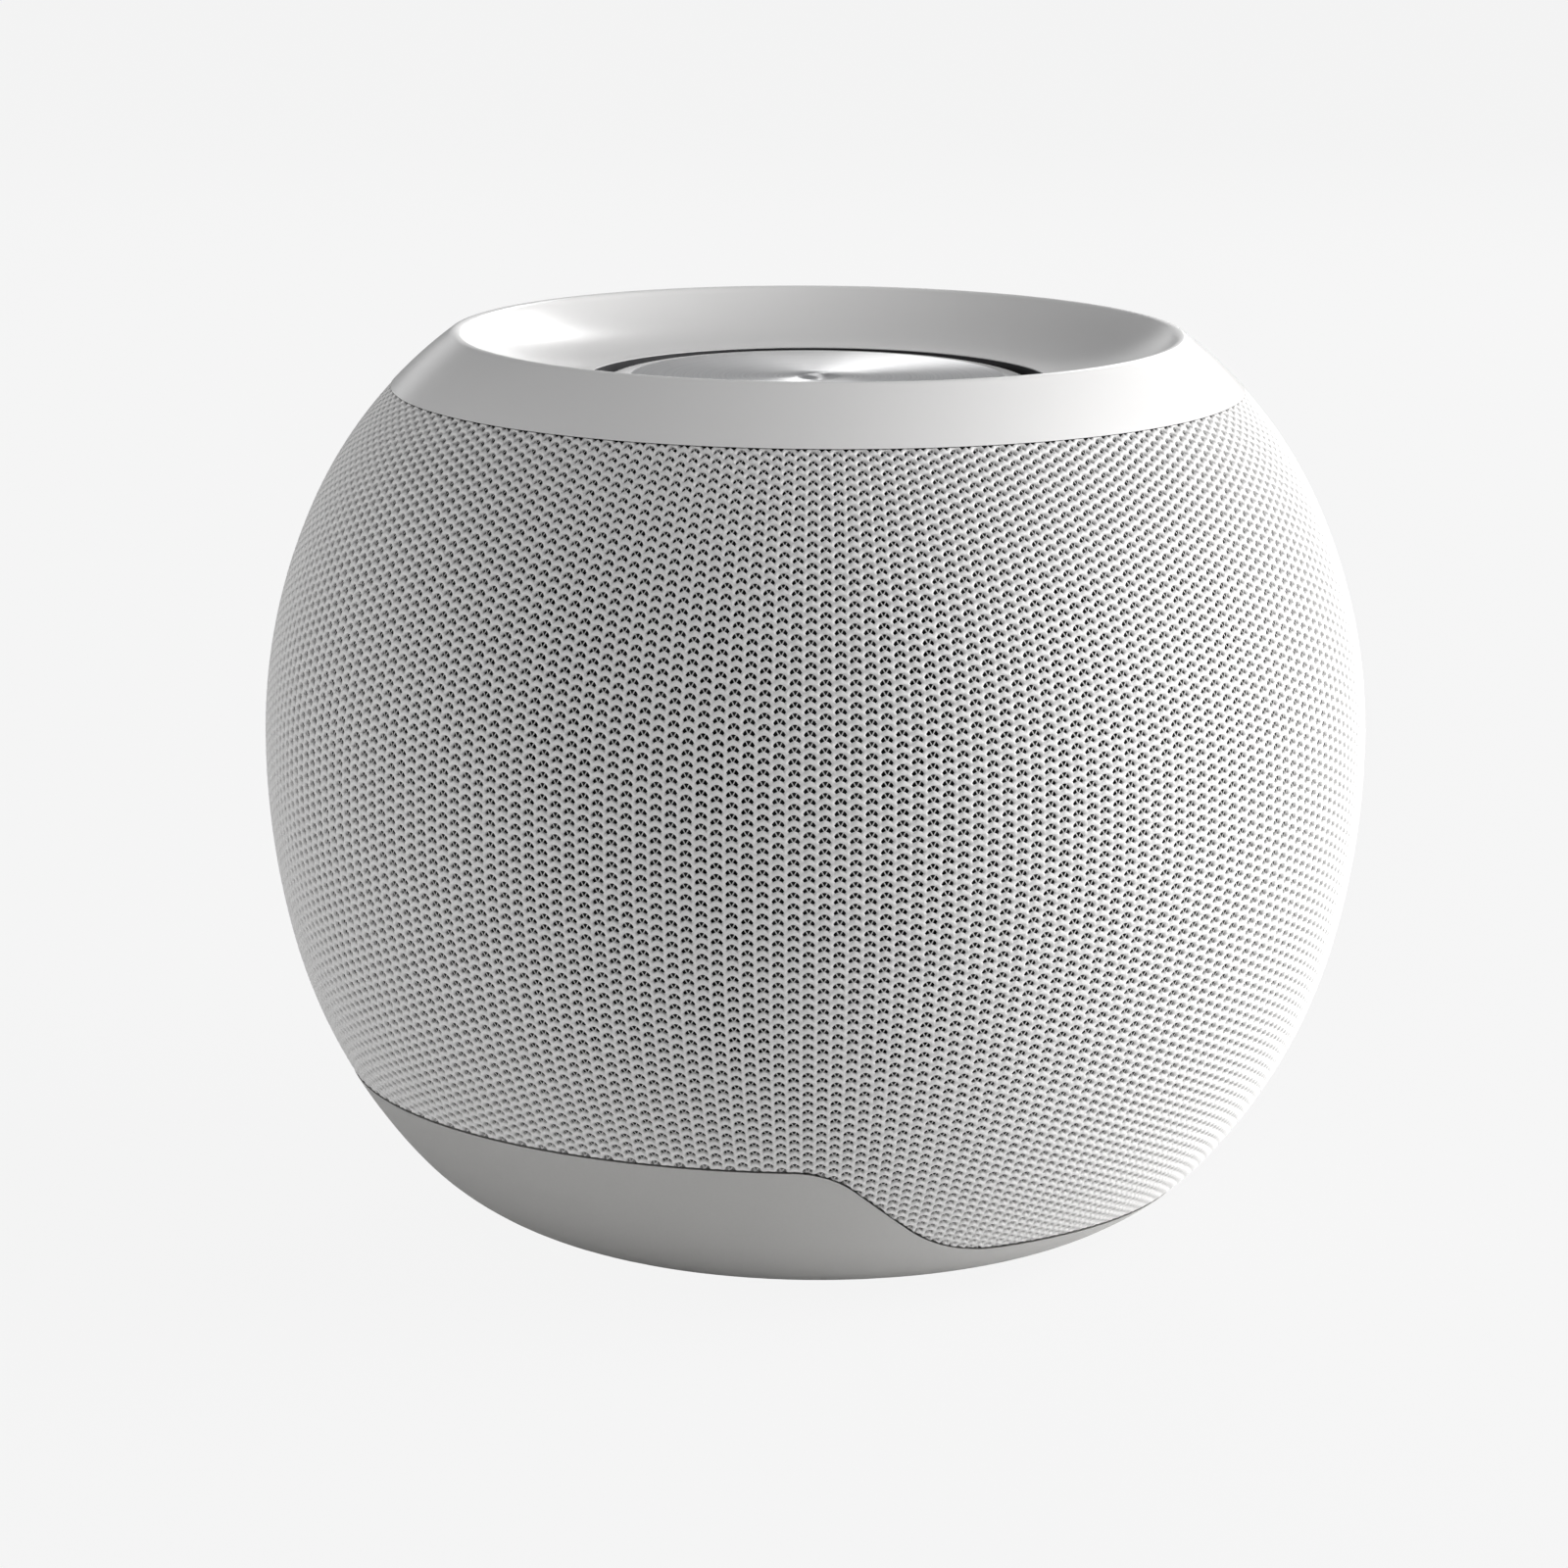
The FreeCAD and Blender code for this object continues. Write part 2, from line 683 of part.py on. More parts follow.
def shield_can():
    finished(block("can", "can_length", "can_width", "can_height", "0", "can_y", "board_top_z"), "shield_can")


def antenna():
    finished(block("antenna_board", "antenna_length", "antenna_thick", "antenna_height", "0",
                   "0 - board_radius + antenna_inset", "board_top_z"), "antenna")


def port_block(name, width, depth, height, distance, z, bearing):
    """A box that faces outwards, its middle a distance out along a bearing from the back."""
    box = doc.addObject("Part::Box", name)
    box.setExpression("Length", formula(width))
    box.setExpression("Width", formula(depth))
    box.setExpression("Height", formula(height))
    turn = about(0, 0, 1, -value(bearing))
    box.Placement = FreeCAD.Placement(FreeCAD.Vector(), turn)
    near = "((%s) - (%s) / 2)" % (distance, depth)
    half = "((%s) / 2)" % width
    return place(box, "%s * sin(%s) - %s * cos(%s)" % (near, bearing, half, bearing),
                 "%s * cos(%s) + %s * sin(%s)" % (near, bearing, half, bearing), z, turn)


def port_rod(name, radius, start, length, bearing):
    """A cylinder that lies outwards from a distance along a bearing, at the ports' height."""
    turn = about(0, 0, 1, -value(bearing)) * about(1, 0, 0, -90)
    return rod(name, radius, length, "(%s) * sin(%s)" % (start, bearing),
               "(%s) * cos(%s)" % (start, bearing), "port_height", turn)


def power_socket():
    """The low-voltage power inlet, a flat receptacle in a metal shell on a small riser."""
    middle = "port_wall - socket_setback - socket_depth / 2"
    bottom = "port_height - socket_height / 2"
    bearing = "socket_bearing"
    outer = port_block("socket_outer", "socket_width", "socket_depth", "socket_height", middle,
                       bottom, bearing)
    hollow = port_block("socket_hollow", "socket_width - 2 * socket_shell", "socket_depth",
                        "socket_height - 2 * socket_shell", "(%s) + 1" % middle,
                        "%s + socket_shell" % bottom, bearing)
    tongue = port_block("socket_tongue", "socket_width - 5 * socket_shell", "socket_depth - 3",
                        "0.7", "(%s) - 1" % middle, "port_height - 0.35", bearing)
    riser = port_block("socket_riser", "socket_width", "socket_depth - 6",
                       "(%s) - board_top_z + 0.1" % bottom, "(%s) - 3" % middle, "board_top_z",
                       bearing)
    shell_cut = cut("socket_case", outer, hollow)
    finished(joined("socket", shell_cut, tongue, riser), "power_socket")


def buttons():
    """Two round push buttons near the back, flush with the wall, each before its switch."""
    for name in BUTTONS:
        bearing = name + "_bearing"
        stem = port_rod(name + "_stem", "button_radius", "button_back", "button_length", bearing)
        envelope = turned(name + "_envelope", bowl_outline("-1 * button_proud", "0"))
        face = doc.addObject("Part::MultiCommon", name + "_face")
        face.Shapes = [stem, envelope]
        flange = port_rod(name + "_flange", "button_flange_radius", "button_back",
                          "button_flange_thick", bearing)
        finished(joined(name + "_cap", face, flange), name + "_button")
        middle = "button_back - button_travel - 0.1 - switch_depth / 2"
        height = "port_height + switch_size / 2 - board_top_z"
        finished(port_block(name + "_case", "switch_size", "switch_depth", height, middle,
                            "board_top_z", bearing), name + "_switch")


# Driver, deflector and enclosure


def acoustic_deflector():
    """The plate and cone that turn the driver's sound outwards, with posts up to the baffle."""
    top = "deflector_height + deflector_plate"
    hub = turned("deflector_hub", [
        ("0", "deflector_height"),
        ("deflector_radius", "deflector_height"),
        ("deflector_radius", top),
        ("deflector_cone_radius", top, "-2 * deflector_cone_radius"),
        ("0", top + " + deflector_cone_height"),
    ])
    solids = [hub]
    for number, (x, y) in enumerate(spokes(4, "deflector_radius - post_margin", 45)):
        solids.append(rod("post_%d" % number, "post_radius", "baffle_height - (%s) + 0.5" % top,
                          x, y, "%s - 0.5" % top))
    bores = []
    for number, (x, y) in enumerate(spokes(4, "boss_circle", 45)):
        solids.append(rod("plate_boss_%d" % number, "boss_radius", "boss_top_gap + 0.5", x, y,
                          "boss_top_z"))
        bores.append(rod("plate_bore_%d" % number, "screw_radius + 0.02",
                         "screw_length + 2.2 - boss_top_z + 0.5", x, y, "boss_top_z - 0.5"))
    finished(cut("deflector", joined("deflector_solid", *solids), *bores), "acoustic_deflector")


def baffle():
    finished(ring("baffle_ring", "frame_radius + driver_hole_gap", "enclosure_radius",
                  "baffle_height", "enclosure_z"), "baffle")


def enclosure():
    """The sealed box over the driver: a drum with a lid and two round mouths for radiators."""
    height = "lid_top_z - enclosure_z"
    drum = rod("drum", "enclosure_radius", height, "0", "0", "enclosure_z")
    mouths = rod("mouths", "radiator_radius", "2 * radiator_face", "0 - radiator_face", "0",
                 "radiator_z", ALONG_X)
    hollow = rod("drum_hollow", "enclosure_radius - enclosure_wall",
                 "%s - enclosure_wall" % height, "0", "0", "enclosure_z")
    bore = rod("mouth_bore", "radiator_radius - radiator_rim", "2 * radiator_face + 2",
               "0 - radiator_face - 1", "0", "radiator_z", ALONG_X)
    finished(cut("enclosure_cut", joined("enclosure_solid", drum, mouths), hollow, bore),
             "enclosure")


def driver_frame():
    """The pressed frame: a flange, a sloping wall with windows and a seat for the top plate."""
    wall = "driver_frame_wall"
    cup = turned("frame_cup", [
        ("frame_radius - driver_frame_wall", "flange_z"),
        ("driver_radius", "flange_z"),
        ("driver_radius", "baffle_height"),
        ("frame_radius", "baffle_height"),
        ("top_plate_radius + 1", "frame_top_z"),
        ("plate_bore", "frame_top_z"),
        ("plate_bore", "frame_top_z - " + wall),
        ("top_plate_radius + 1 - " + wall, "frame_top_z - " + wall),
        ("frame_radius - driver_frame_wall", "baffle_height"),
    ])
    windows = []
    for number in range(2):
        length = "2 * driver_radius" if number == 0 else "driver_radius / 2"
        width = "driver_radius / 2" if number == 0 else "2 * driver_radius"
        windows.append(block("frame_window_%d" % number, length, width, "driver_depth / 3", "0",
                             "0", "baffle_height + driver_depth / 3"))
    finished(cut("frame", cup, *windows), "driver_frame")


def driver_motor():
    finished(ring("top_plate_ring", "plate_bore", "top_plate_radius", "frame_top_z", "magnet_z"),
             "top_plate")
    finished(ring("magnet_ring", "magnet_bore", "magnet_radius", "magnet_z", "yoke_z"), "magnet")
    yoke = turned("yoke_turned", [
        ("0", "frame_top_z"),
        ("pole_radius", "frame_top_z"),
        ("pole_radius", "yoke_z"),
        ("top_plate_radius", "yoke_z"),
        ("top_plate_radius", "yoke_z + yoke_thick"),
        ("0", "yoke_z + yoke_thick"),
    ])
    finished(yoke, "yoke")


def driver_cone():
    """The moving parts of the driver, and the two soft rings that hold them."""
    neck = "coil_radius + 0.1"
    finished(turned("cone_turned", [
        ("cone_radius - cone_wall", "flange_z"),
        ("cone_radius", "flange_z"),
        (neck + " + cone_wall", "cone_top_z"),
        (neck, "cone_top_z"),
    ]), "driver_cone")
    cap_z = "flange_z + 0.75 * (cone_top_z - flange_z)"
    cap_radius = "(%s + 0.2 * (cone_radius - coil_radius))" % neck
    finished(turned("cap_turned", [
        ("0", "%s - 3.5" % cap_z, "3 * coil_radius"),
        (cap_radius, cap_z),
        (cap_radius + " - 0.5", "%s + 0.4" % cap_z, "-3 * coil_radius"),
        ("0", "%s - 3.1" % cap_z),
    ]), "dust_cap")
    former_z = "cone_top_z - 0.5"
    finished(ring("former_ring", "coil_radius - former_wall", "coil_radius", former_z,
                  "%s + former_length" % former_z), "coil_former")
    coil_z = "frame_top_z + (top_plate_thick - coil_length) / 2"
    finished(ring("coil_ring", "coil_radius", "coil_radius + coil_wall", coil_z,
                  "%s + coil_length" % coil_z), "voice_coil")
    slope = "(top_plate_radius + 1 - frame_radius) / driver_depth"
    spider_radius = ("frame_radius - driver_frame_wall - spider_gap + %s * (cone_depth + spider_lift)"
                     % slope)
    spider_z = "cone_top_z + spider_lift"
    finished(ring("spider_ring", "coil_radius", spider_radius, spider_z,
                  "%s + spider_thick" % spider_z), "driver_spider")
    finished(turned("roll_turned", roll_profile("cone_radius", "cone_radius + roll_width",
                                                "flange_z", "-")), "driver_surround")


def roll_profile(inner, outer, seat, side):
    """A soft roll between two radii with a flat lip at each edge, bulging to one side."""
    far = "(%s) %s roll_thick" % (seat, side)
    bend = "0.58 * ((%s) - (%s))" % (outer, inner)
    there = "%s1" % ("" if side == "-" else "-")
    back = "%s1" % ("-" if side == "-" else "")
    return [
        ("%s - roll_lip" % inner, seat),
        (inner, seat, "%s * %s" % (there, bend)),
        (outer, seat),
        ("%s + roll_lip" % outer, seat),
        ("%s + roll_lip" % outer, far),
        ("%s + 0.1" % outer, far, "%s * (%s + 0.15)" % (back, bend)),
        ("%s - 0.1" % inner, far),
        ("%s - roll_lip" % inner, far),
    ]


def swapped(corners):
    """The same outline with across and up exchanged, so that its arcs turn the other way."""
    return [(c[1], c[0]) + tuple("-1 * (%s)" % arc for arc in c[2:]) for c in corners]


def passive_radiators():
    """A radiator on each side: frame, soft roll and plate, turned about the X axis."""
    seat = "radiator_face + radiator_frame_thick"
    rim = "radiator_radius - radiator_rim"
    frame = [(rim, "radiator_face"), ("radiator_radius", "radiator_face"),
             ("radiator_radius", seat), (rim, seat)]
    plate = [("0", "%s - radiator_plate_thick" % seat),
             ("radiator_plate_radius", "%s - radiator_plate_thick" % seat),
             ("radiator_plate_radius", seat), ("0", seat)]
    roll = roll_profile("radiator_plate_radius", rim, seat, "+")
    for side, turn in (("right", 0), ("left", 180)):
        for piece, corners in (("frame", frame), ("plate", plate), ("surround", roll)):
            body = turned("%s_%s_turned" % (side, piece), swapped(corners), "H_Axis")
            place(body, "0", "0", "radiator_z", about(0, 0, 1, turn))
            finished(body, "%s_radiator_%s" % (side, piece))


# The top stack


def top_chassis():
    """The plate that carries the bezel and the control board, with a slot for the ribbon."""
    skirt_outer = radius_at("crown", "seam_z", "bezel_skirt_inset")
    skirt_inner = skirt_outer + " - bezel_wall"
    rim = radius_at("crown", "chassis_top_z", "basket_inner") + " - chassis_rim_gap"
    plate = turned("chassis_plate", [
        ("chassis_hole_radius", "chassis_z"),
        ("chassis_rib_radius", "chassis_z"),
        ("chassis_rib_radius", "lid_top_z"),
        ("chassis_rib_radius + chassis_rib_thick", "lid_top_z"),
        ("chassis_rib_radius + chassis_rib_thick", "chassis_z"),
        (rim, "chassis_z"),
        (rim, "chassis_top_z"),
        (skirt_outer, "chassis_top_z"),
        (skirt_outer, "skirt_z"),
        (skirt_inner, "skirt_z"),
        (skirt_inner, "chassis_top_z"),
        ("chassis_hole_radius", "chassis_top_z"),
    ])
    ring_of_posts = spokes(3, "control_radius - control_post_inset", 90)
    posts = [rod("control_post_%d" % number, "control_post_radius", "control_post + 0.5", x, y,
                 "chassis_top_z - 0.5") for number, (x, y) in enumerate(ring_of_posts)]
    slot = block("ribbon_slot", "ribbon_width + 2", "ribbon_slot_depth", "30", "0",
                 "0 - enclosure_radius", "chassis_z - 1")
    finished(cut("chassis", joined("chassis_solid", plate, *posts), slot), "top_chassis")


def control_board():
    finished(rod("control_disc", "control_radius", "control_board_thick", "0", "0", "control_z"),
             "control_board")


def leds_and_microphones():
    led_circle = "dish_radius + led_size / 2 - bezel_wall"
    for number, (x, y) in enumerate(spokes(4, led_circle), start=1):
        finished(block("led_block_%d" % number, "led_size", "led_size", "led_height", x, y,
                       "control_top_z"), "led_%d" % number)
    for number, (x, y) in enumerate(spokes(2, "control_radius - microphone_inset", 0), start=1):
        finished(block("mic_block_%d" % number, "microphone_width", "microphone_length",
                       "microphone_height", x, y, "control_top_z"), "microphone_%d" % number)


def light_ring():
    """The milky light guide that shows in the gap round the knob."""
    top = "control_top_z + light_ring_height"
    finished(turned("guide_turned", [
        ("light_ring_outer - light_ring_width - bezel_wall", top + " - light_ring_thick"),
        ("light_ring_outer - bezel_wall", top + " - light_ring_thick"),
        ("light_ring_outer - bezel_wall", "control_top_z"),
        ("light_ring_outer", "control_top_z"),
        ("light_ring_outer", top),
        ("light_ring_outer - light_ring_width - bezel_wall", top),
    ]), "light_ring")


def encoder():
    """The knob's switch and turn sensor: a case, a plunger that sinks and a shaft in it."""
    case = block("encoder_box", "encoder_width", "encoder_width", "encoder_height", "0", "0",
                 "control_top_z")
    well = rod("encoder_well", "plunger_radius + plunger_clearance", "encoder_height", "0", "0",
               "control_top_z + 0.15")
    finished(cut("encoder_case", case, well), "encoder_body")
    finished(ring("plunger", "shaft_radius + shaft_clearance", "plunger_radius", "plunger_z",
                  "plunger_z + plunger_height"), "encoder_plunger")
    finished(rod("shaft", "shaft_radius", "knob_top_z - knob_wall - plunger_z - 0.4", "0", "0",
                 "plunger_z + 0.4"), "encoder_shaft")


def knob():
    """The spun metal cap and the plastic carrier inside it."""
    inner = "knob_radius - knob_wall"
    finished(turned("cap_spun", [
        ("0", "knob_top_z - knob_dimple_depth", "3 * knob_dimple_radius"),
        ("knob_dimple_radius", "knob_top_z"),
        ("knob_flat_radius", "knob_top_z", "-1 * knob_shoulder_arc"),
        ("knob_radius", "knob_top_z - knob_height + knob_lip"),
        ("knob_radius", "knob_bottom_z"),
        (inner, "knob_bottom_z"),
        (inner, "knob_bottom_z + knob_lip / 2"),
        ("knob_flat_radius", "knob_top_z - knob_wall"),
        ("0", "knob_top_z - knob_wall"),
    ]), "knob_cap")
    finished(turned("carrier_turned", [
        ("shaft_radius", "carrier_z"),
        ("knob_flat_radius - carrier_gap", "carrier_z"),
        ("knob_flat_radius - carrier_gap", "knob_top_z - knob_wall"),
        ("shaft_radius", "knob_top_z - knob_wall"),
    ]), "knob_carrier")


def ribbon_cable():
    """The flat cable from the control board down past the enclosure to the main board."""
    inner_y = "0 - deflector_radius - 3 * ribbon_thick"
    outer_y = "0 - max(enclosure_radius; deflector_radius + 5 * ribbon_thick) - ribbon_thick"
    low_y = "0 - board_radius + ribbon_edge"
    steps = [
        ("0 - control_radius + ribbon_edge + 1", "control_z - ribbon_top_gap"),
        (outer_y, "control_z - ribbon_top_gap"),
        (outer_y, "deflector_height + ribbon_bend_rise"),
        (inner_y, "deflector_height + ribbon_bend_rise"),
        (inner_y, "deflector_height - ribbon_bend_drop"),
        (low_y, "deflector_height - ribbon_bend_drop"),
        (low_y, "board_top_z"),
    ]
    half = " + %s * ribbon_thick / 2"
    sides = [(0, 1), (-1, 1), (-1, -1), (-1, -1), (-1, -1), (-1, -1), (-1, 0)]
    outside = [(y + half % a, z + half % b) for (y, z), (a, b) in zip(steps, sides)]
    inside = [(y + half % -a, z + half % -b) for (y, z), (a, b) in zip(steps, sides)]
    ribbon = slab("ribbon", outside + inside[::-1], "YZ_Plane", "ribbon_width")
    finished(ribbon, "ribbon_cable")


def write_parts():
    """Checks every object and every sub-part, and only then writes them."""
    doc.recompute()
    faults = [o.Name for o in doc.Objects if {"Invalid", "Error"} & set(o.State)]
    if faults:
        raise RuntimeError("failed objects: " + ", ".join(faults))
    for part in parts:
        if part.Shape.isNull() or not part.Shape.isValid() or len(part.Shape.Solids) != 1:
            raise RuntimeError("%s is not one valid solid" % part.Label)
    os.makedirs("parts", exist_ok=True)
    for part in parts:
        part.Shape.exportStep(os.path.join("parts", part.Label + ".step"))
    print("%d sub-parts written" % len(parts))


ALONG_X = about(0, 1, 0, 90)
BUTTONS = ("power", "mute")

worked["board_radius"] = radius_at("heel", "board_z", "base_wall") + " - board_gap"
worked["port_wall"] = radius_at("belly", "port_height")
worked["button_back"] = "port_wall - button_reach"
worked["deflector_radius"] = (radius_at("belly", "deflector_height", "basket_inner")
                              + " - deflector_gap")
worked["enclosure_radius"] = (radius_at("crown", "lid_top_z", "basket_inner")
                              + " - enclosure_gap")

fill_sheet()
base_shell()
rubber_foot()
base_screws()
fabric_sleeve()
grille_basket()
fabric_ring()
bezel()
ballast_ring()
main_board()
heat_sink()
shield_can()
antenna()
power_socket()
buttons()
acoustic_deflector()
baffle()
enclosure()
driver_frame()
driver_motor()
driver_cone()
passive_radiators()
top_chassis()
control_board()
leds_and_microphones()
light_ring()
encoder()
knob()
ribbon_cable()
write_parts()
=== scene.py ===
# %% [markdown]
# # A smart speaker with a knitted cover
# The speaker is a pebble of knitted mesh on a moulded base, with a glossy white bezel and a
# spun metal knob in its dish. The CAD frame gives every size and place, and this lesson
# dresses it: the knit, the bezel and the knob are modelled here, and the base and the parts
# inside get the finish of their real material.

# %% Frame
import bpy
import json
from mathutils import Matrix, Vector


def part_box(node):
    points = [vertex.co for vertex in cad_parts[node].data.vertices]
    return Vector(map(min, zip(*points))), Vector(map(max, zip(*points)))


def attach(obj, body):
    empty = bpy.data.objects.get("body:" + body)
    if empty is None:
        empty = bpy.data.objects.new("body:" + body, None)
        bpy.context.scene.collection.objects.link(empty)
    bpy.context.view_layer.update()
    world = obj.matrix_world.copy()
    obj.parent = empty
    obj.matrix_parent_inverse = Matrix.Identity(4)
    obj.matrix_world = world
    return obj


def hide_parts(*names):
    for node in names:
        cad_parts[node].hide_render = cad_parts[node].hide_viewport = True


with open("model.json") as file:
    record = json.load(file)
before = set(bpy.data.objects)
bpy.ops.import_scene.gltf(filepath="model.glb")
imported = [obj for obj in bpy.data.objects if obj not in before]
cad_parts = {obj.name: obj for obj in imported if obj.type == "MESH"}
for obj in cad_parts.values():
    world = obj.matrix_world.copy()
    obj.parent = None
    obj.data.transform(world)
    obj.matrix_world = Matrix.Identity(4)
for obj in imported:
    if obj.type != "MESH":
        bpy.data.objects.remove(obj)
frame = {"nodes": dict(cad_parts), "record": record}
bpy.context.view_layer.update()

import json
import math

import numpy as np
from mathutils import Matrix, Vector

MM = 0.001

# %% [markdown]
# A few small helpers keep the later cells short: a colour from its hex value, a shader node
# with its settings and links, one selected object for the operators, and a material put on a
# piece. Operators act on everything that is selected, so the selection is always set first.

# %% Helpers


def colour(code):
    """A linear colour from an sRGB hex value."""
    channels = [int(code[i:i + 2], 16) / 255 for i in (1, 3, 5)]
    linear = [c / 12.92 if c <= 0.04045 else ((c + 0.055) / 1.055) ** 2.4 for c in channels]
    return (*linear, 1.0)


def node(tree, kind, settings=None, links=None):
    """Adds a shader node. Settings are its inputs or its own properties; links are inputs."""
    made = tree.nodes.new(kind)
    for name, value in (settings or {}).items():
        if isinstance(name, int) or name in made.inputs:
            made.inputs[name].default_value = value
        else:
            setattr(made, name, value)
    for name, source in (links or {}).items():
        tree.links.new(source, made.inputs[name])
    return made


def deselect_all():
    if bpy.context.object and bpy.context.object.mode != "OBJECT":
        bpy.ops.object.mode_set(mode="OBJECT")
    bpy.ops.object.select_all(action="DESELECT")


def only(piece):
    """Makes one object the selected and active one."""
    deselect_all()
    piece.select_set(True)
    bpy.context.view_layer.objects.active = piece


def apply_modifiers(piece):
    only(piece)
    for modifier in list(piece.modifiers):
        bpy.ops.object.modifier_apply(modifier=modifier.name)


def dress(piece, material):
    piece.data.materials.clear()
    piece.data.materials.append(material)


def triangles(piece):
    return sum(len(p.vertices) - 2 for p in piece.data.polygons)


print("mid grey is", [round(c, 3) for c in colour("#808080")], "as linear light")

# %% [markdown]
# ## The camera
# A long lens from far off, a little above the top, shows the dish as a narrow ellipse. The
# camera comes first, so that every later step can be judged through it. The small shift and
# roll place the speaker in the square as a product picture would.

# %% Camera
sleeve_low, sleeve_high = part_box("fabric_sleeve")
SLEEVE_INSET = 0.2 * MM
body_radius = sleeve_high.x + SLEEVE_INSET
EQUATOR_HEIGHT = 64.8 * MM
equator_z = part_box("rubber_foot")[0].z + EQUATOR_HEIGHT
VIEW_AZIMUTH = math.radians(260)
VIEW_ELEVATION = math.radians(11.2)
VIEW_DISTANCE = 11.39 * body_radius
VIEW_ROLL = math.radians(0.43)

back = Vector((math.sin(VIEW_AZIMUTH) * math.cos(VIEW_ELEVATION),
               -math.cos(VIEW_AZIMUTH) * math.cos(VIEW_ELEVATION), math.sin(VIEW_ELEVATION)))
lens = bpy.data.cameras.new("product_camera")
lens.lens = 143.4
lens.sensor_width = 36
lens.shift_x = -0.02
lens.shift_y = -0.0360625
lens.clip_end = 100
camera = bpy.data.objects.new("product_camera", lens)
bpy.context.scene.collection.objects.link(camera)
camera.rotation_mode = "QUATERNION"
camera.location = Vector((0, 0, equator_z)) + back * VIEW_DISTANCE
turn = (-back).to_track_quat("-Z", "Y")
camera.rotation_quaternion = turn @ Matrix.Rotation(VIEW_ROLL, 3, "Z").to_quaternion()
bpy.context.scene.camera = camera
bpy.context.scene.view_settings.view_transform = "Standard"
print("camera", round(VIEW_DISTANCE, 3), "m from the speaker")

# %% [markdown]
# ## Floor and light
# White goods are shown on a pale floor that runs into a pale background. The world and the
# floor look the same pale grey to the eye, while the light that falls on the speaker is
# uneven: one strong soft box on the right, and five weaker ones round the sides and the back.
# Without that difference, the knit and the gloss would look flat.

# %% World
BACKDROP = "#F6F6F6"

world = bpy.data.worlds.new("studio")
bpy.context.scene.world = world
world.use_nodes = True
tree = world.node_tree
tree.nodes.clear()
path = node(tree, "ShaderNodeLightPath")
seen = node(tree, "ShaderNodeBackground", {"Color": colour(BACKDROP), "Strength": 1.0})
cast = node(tree, "ShaderNodeBackground", {"Color": colour("#F2F4F7"), "Strength": 0.17})
mix = node(tree, "ShaderNodeMixShader", {},
           {"Fac": path.outputs["Is Camera Ray"], 1: cast.outputs[0], 2: seen.outputs[0]})
node(tree, "ShaderNodeOutputWorld", {}, {"Surface": mix.outputs[0]})
print("world seen at 1.0, cast at", cast.inputs["Strength"].default_value)

# %% [markdown]
# The floor is a wide disc. To the camera it is almost all glow, so it has the backdrop's own
# grey with only a trace of shadow. To every other ray it is matte, so it lights the speaker
# from below as a real table would.

# %% Floor
deselect_all()
bpy.ops.mesh.primitive_circle_add(vertices=96, radius=6, fill_type="NGON", location=(0, 0, 0))
floor = bpy.context.object
floor.name = "floor"
paint = bpy.data.materials.new("pale_floor")
paint.use_nodes = True
tree = paint.node_tree
tree.nodes.clear()
path = node(tree, "ShaderNodeLightPath")
glow = node(tree, "ShaderNodeEmission", {"Color": colour(BACKDROP), "Strength": 1.0})
matte = node(tree, "ShaderNodeBsdfDiffuse", {"Color": colour("#EEEEEE")})
share = node(tree, "ShaderNodeMath", {"operation": "MULTIPLY", 1: 0.97},
             {0: path.outputs["Is Camera Ray"]})
mix = node(tree, "ShaderNodeMixShader", {},
           {"Fac": share.outputs[0], 1: matte.outputs[0], 2: glow.outputs[0]})
node(tree, "ShaderNodeOutputMaterial", {}, {"Surface": mix.outputs[0]})
dress(floor, paint)
print("floor", round(floor.dimensions.x, 1), "m across")

# %% [markdown]
# Each soft box is an area light that points at the middle of the body. Two boxes on the right
# light that side, the left and front ones fill the rest, and the two at the back are there
# for the gloss: the dish and the knob mirror them.

# %% Soft boxes


def soft_box(name, bearing, elevation, distance, size, power):
    """An area light. The bearing is in degrees to the right of the camera."""
    lamp = bpy.data.lights.new(name, "AREA")
    lamp.shape = "RECTANGLE"
    lamp.size, lamp.size_y = size
    lamp.energy = power
    light = bpy.data.objects.new(name, lamp)
    bpy.context.scene.collection.objects.link(light)
    at = VIEW_AZIMUTH + math.radians(bearing)
    rise = math.radians(elevation)
    away = Vector((math.sin(at) * math.cos(rise), -math.cos(at) * math.cos(rise),
                   math.sin(rise)))
    light.location = Vector((0, 0, equator_z)) + away * distance
    light.rotation_mode = "QUATERNION"
    light.rotation_quaternion = (-away).to_track_quat("-Z", "Y")


soft_box("right_box", 82, 20, 1.0, (0.8, 0.9), 15.0)
soft_box("right_back_box", 112, 14, 1.0, (0.5, 0.5), 2.0)
soft_box("left_box", -84, 8, 1.2, (0.6, 0.3), 4.4)
soft_box("front_box", -30, 4, 1.4, (1.2, 0.25), 2.5)
soft_box("back_right_box", 161, 26, 1.2, (0.3, 0.5), 3.6)
soft_box("back_strip", 182, 13, 1.3, (1.3, 0.24), 1.0)
print("soft boxes:", ", ".join(lamp.name for lamp in bpy.data.lights))
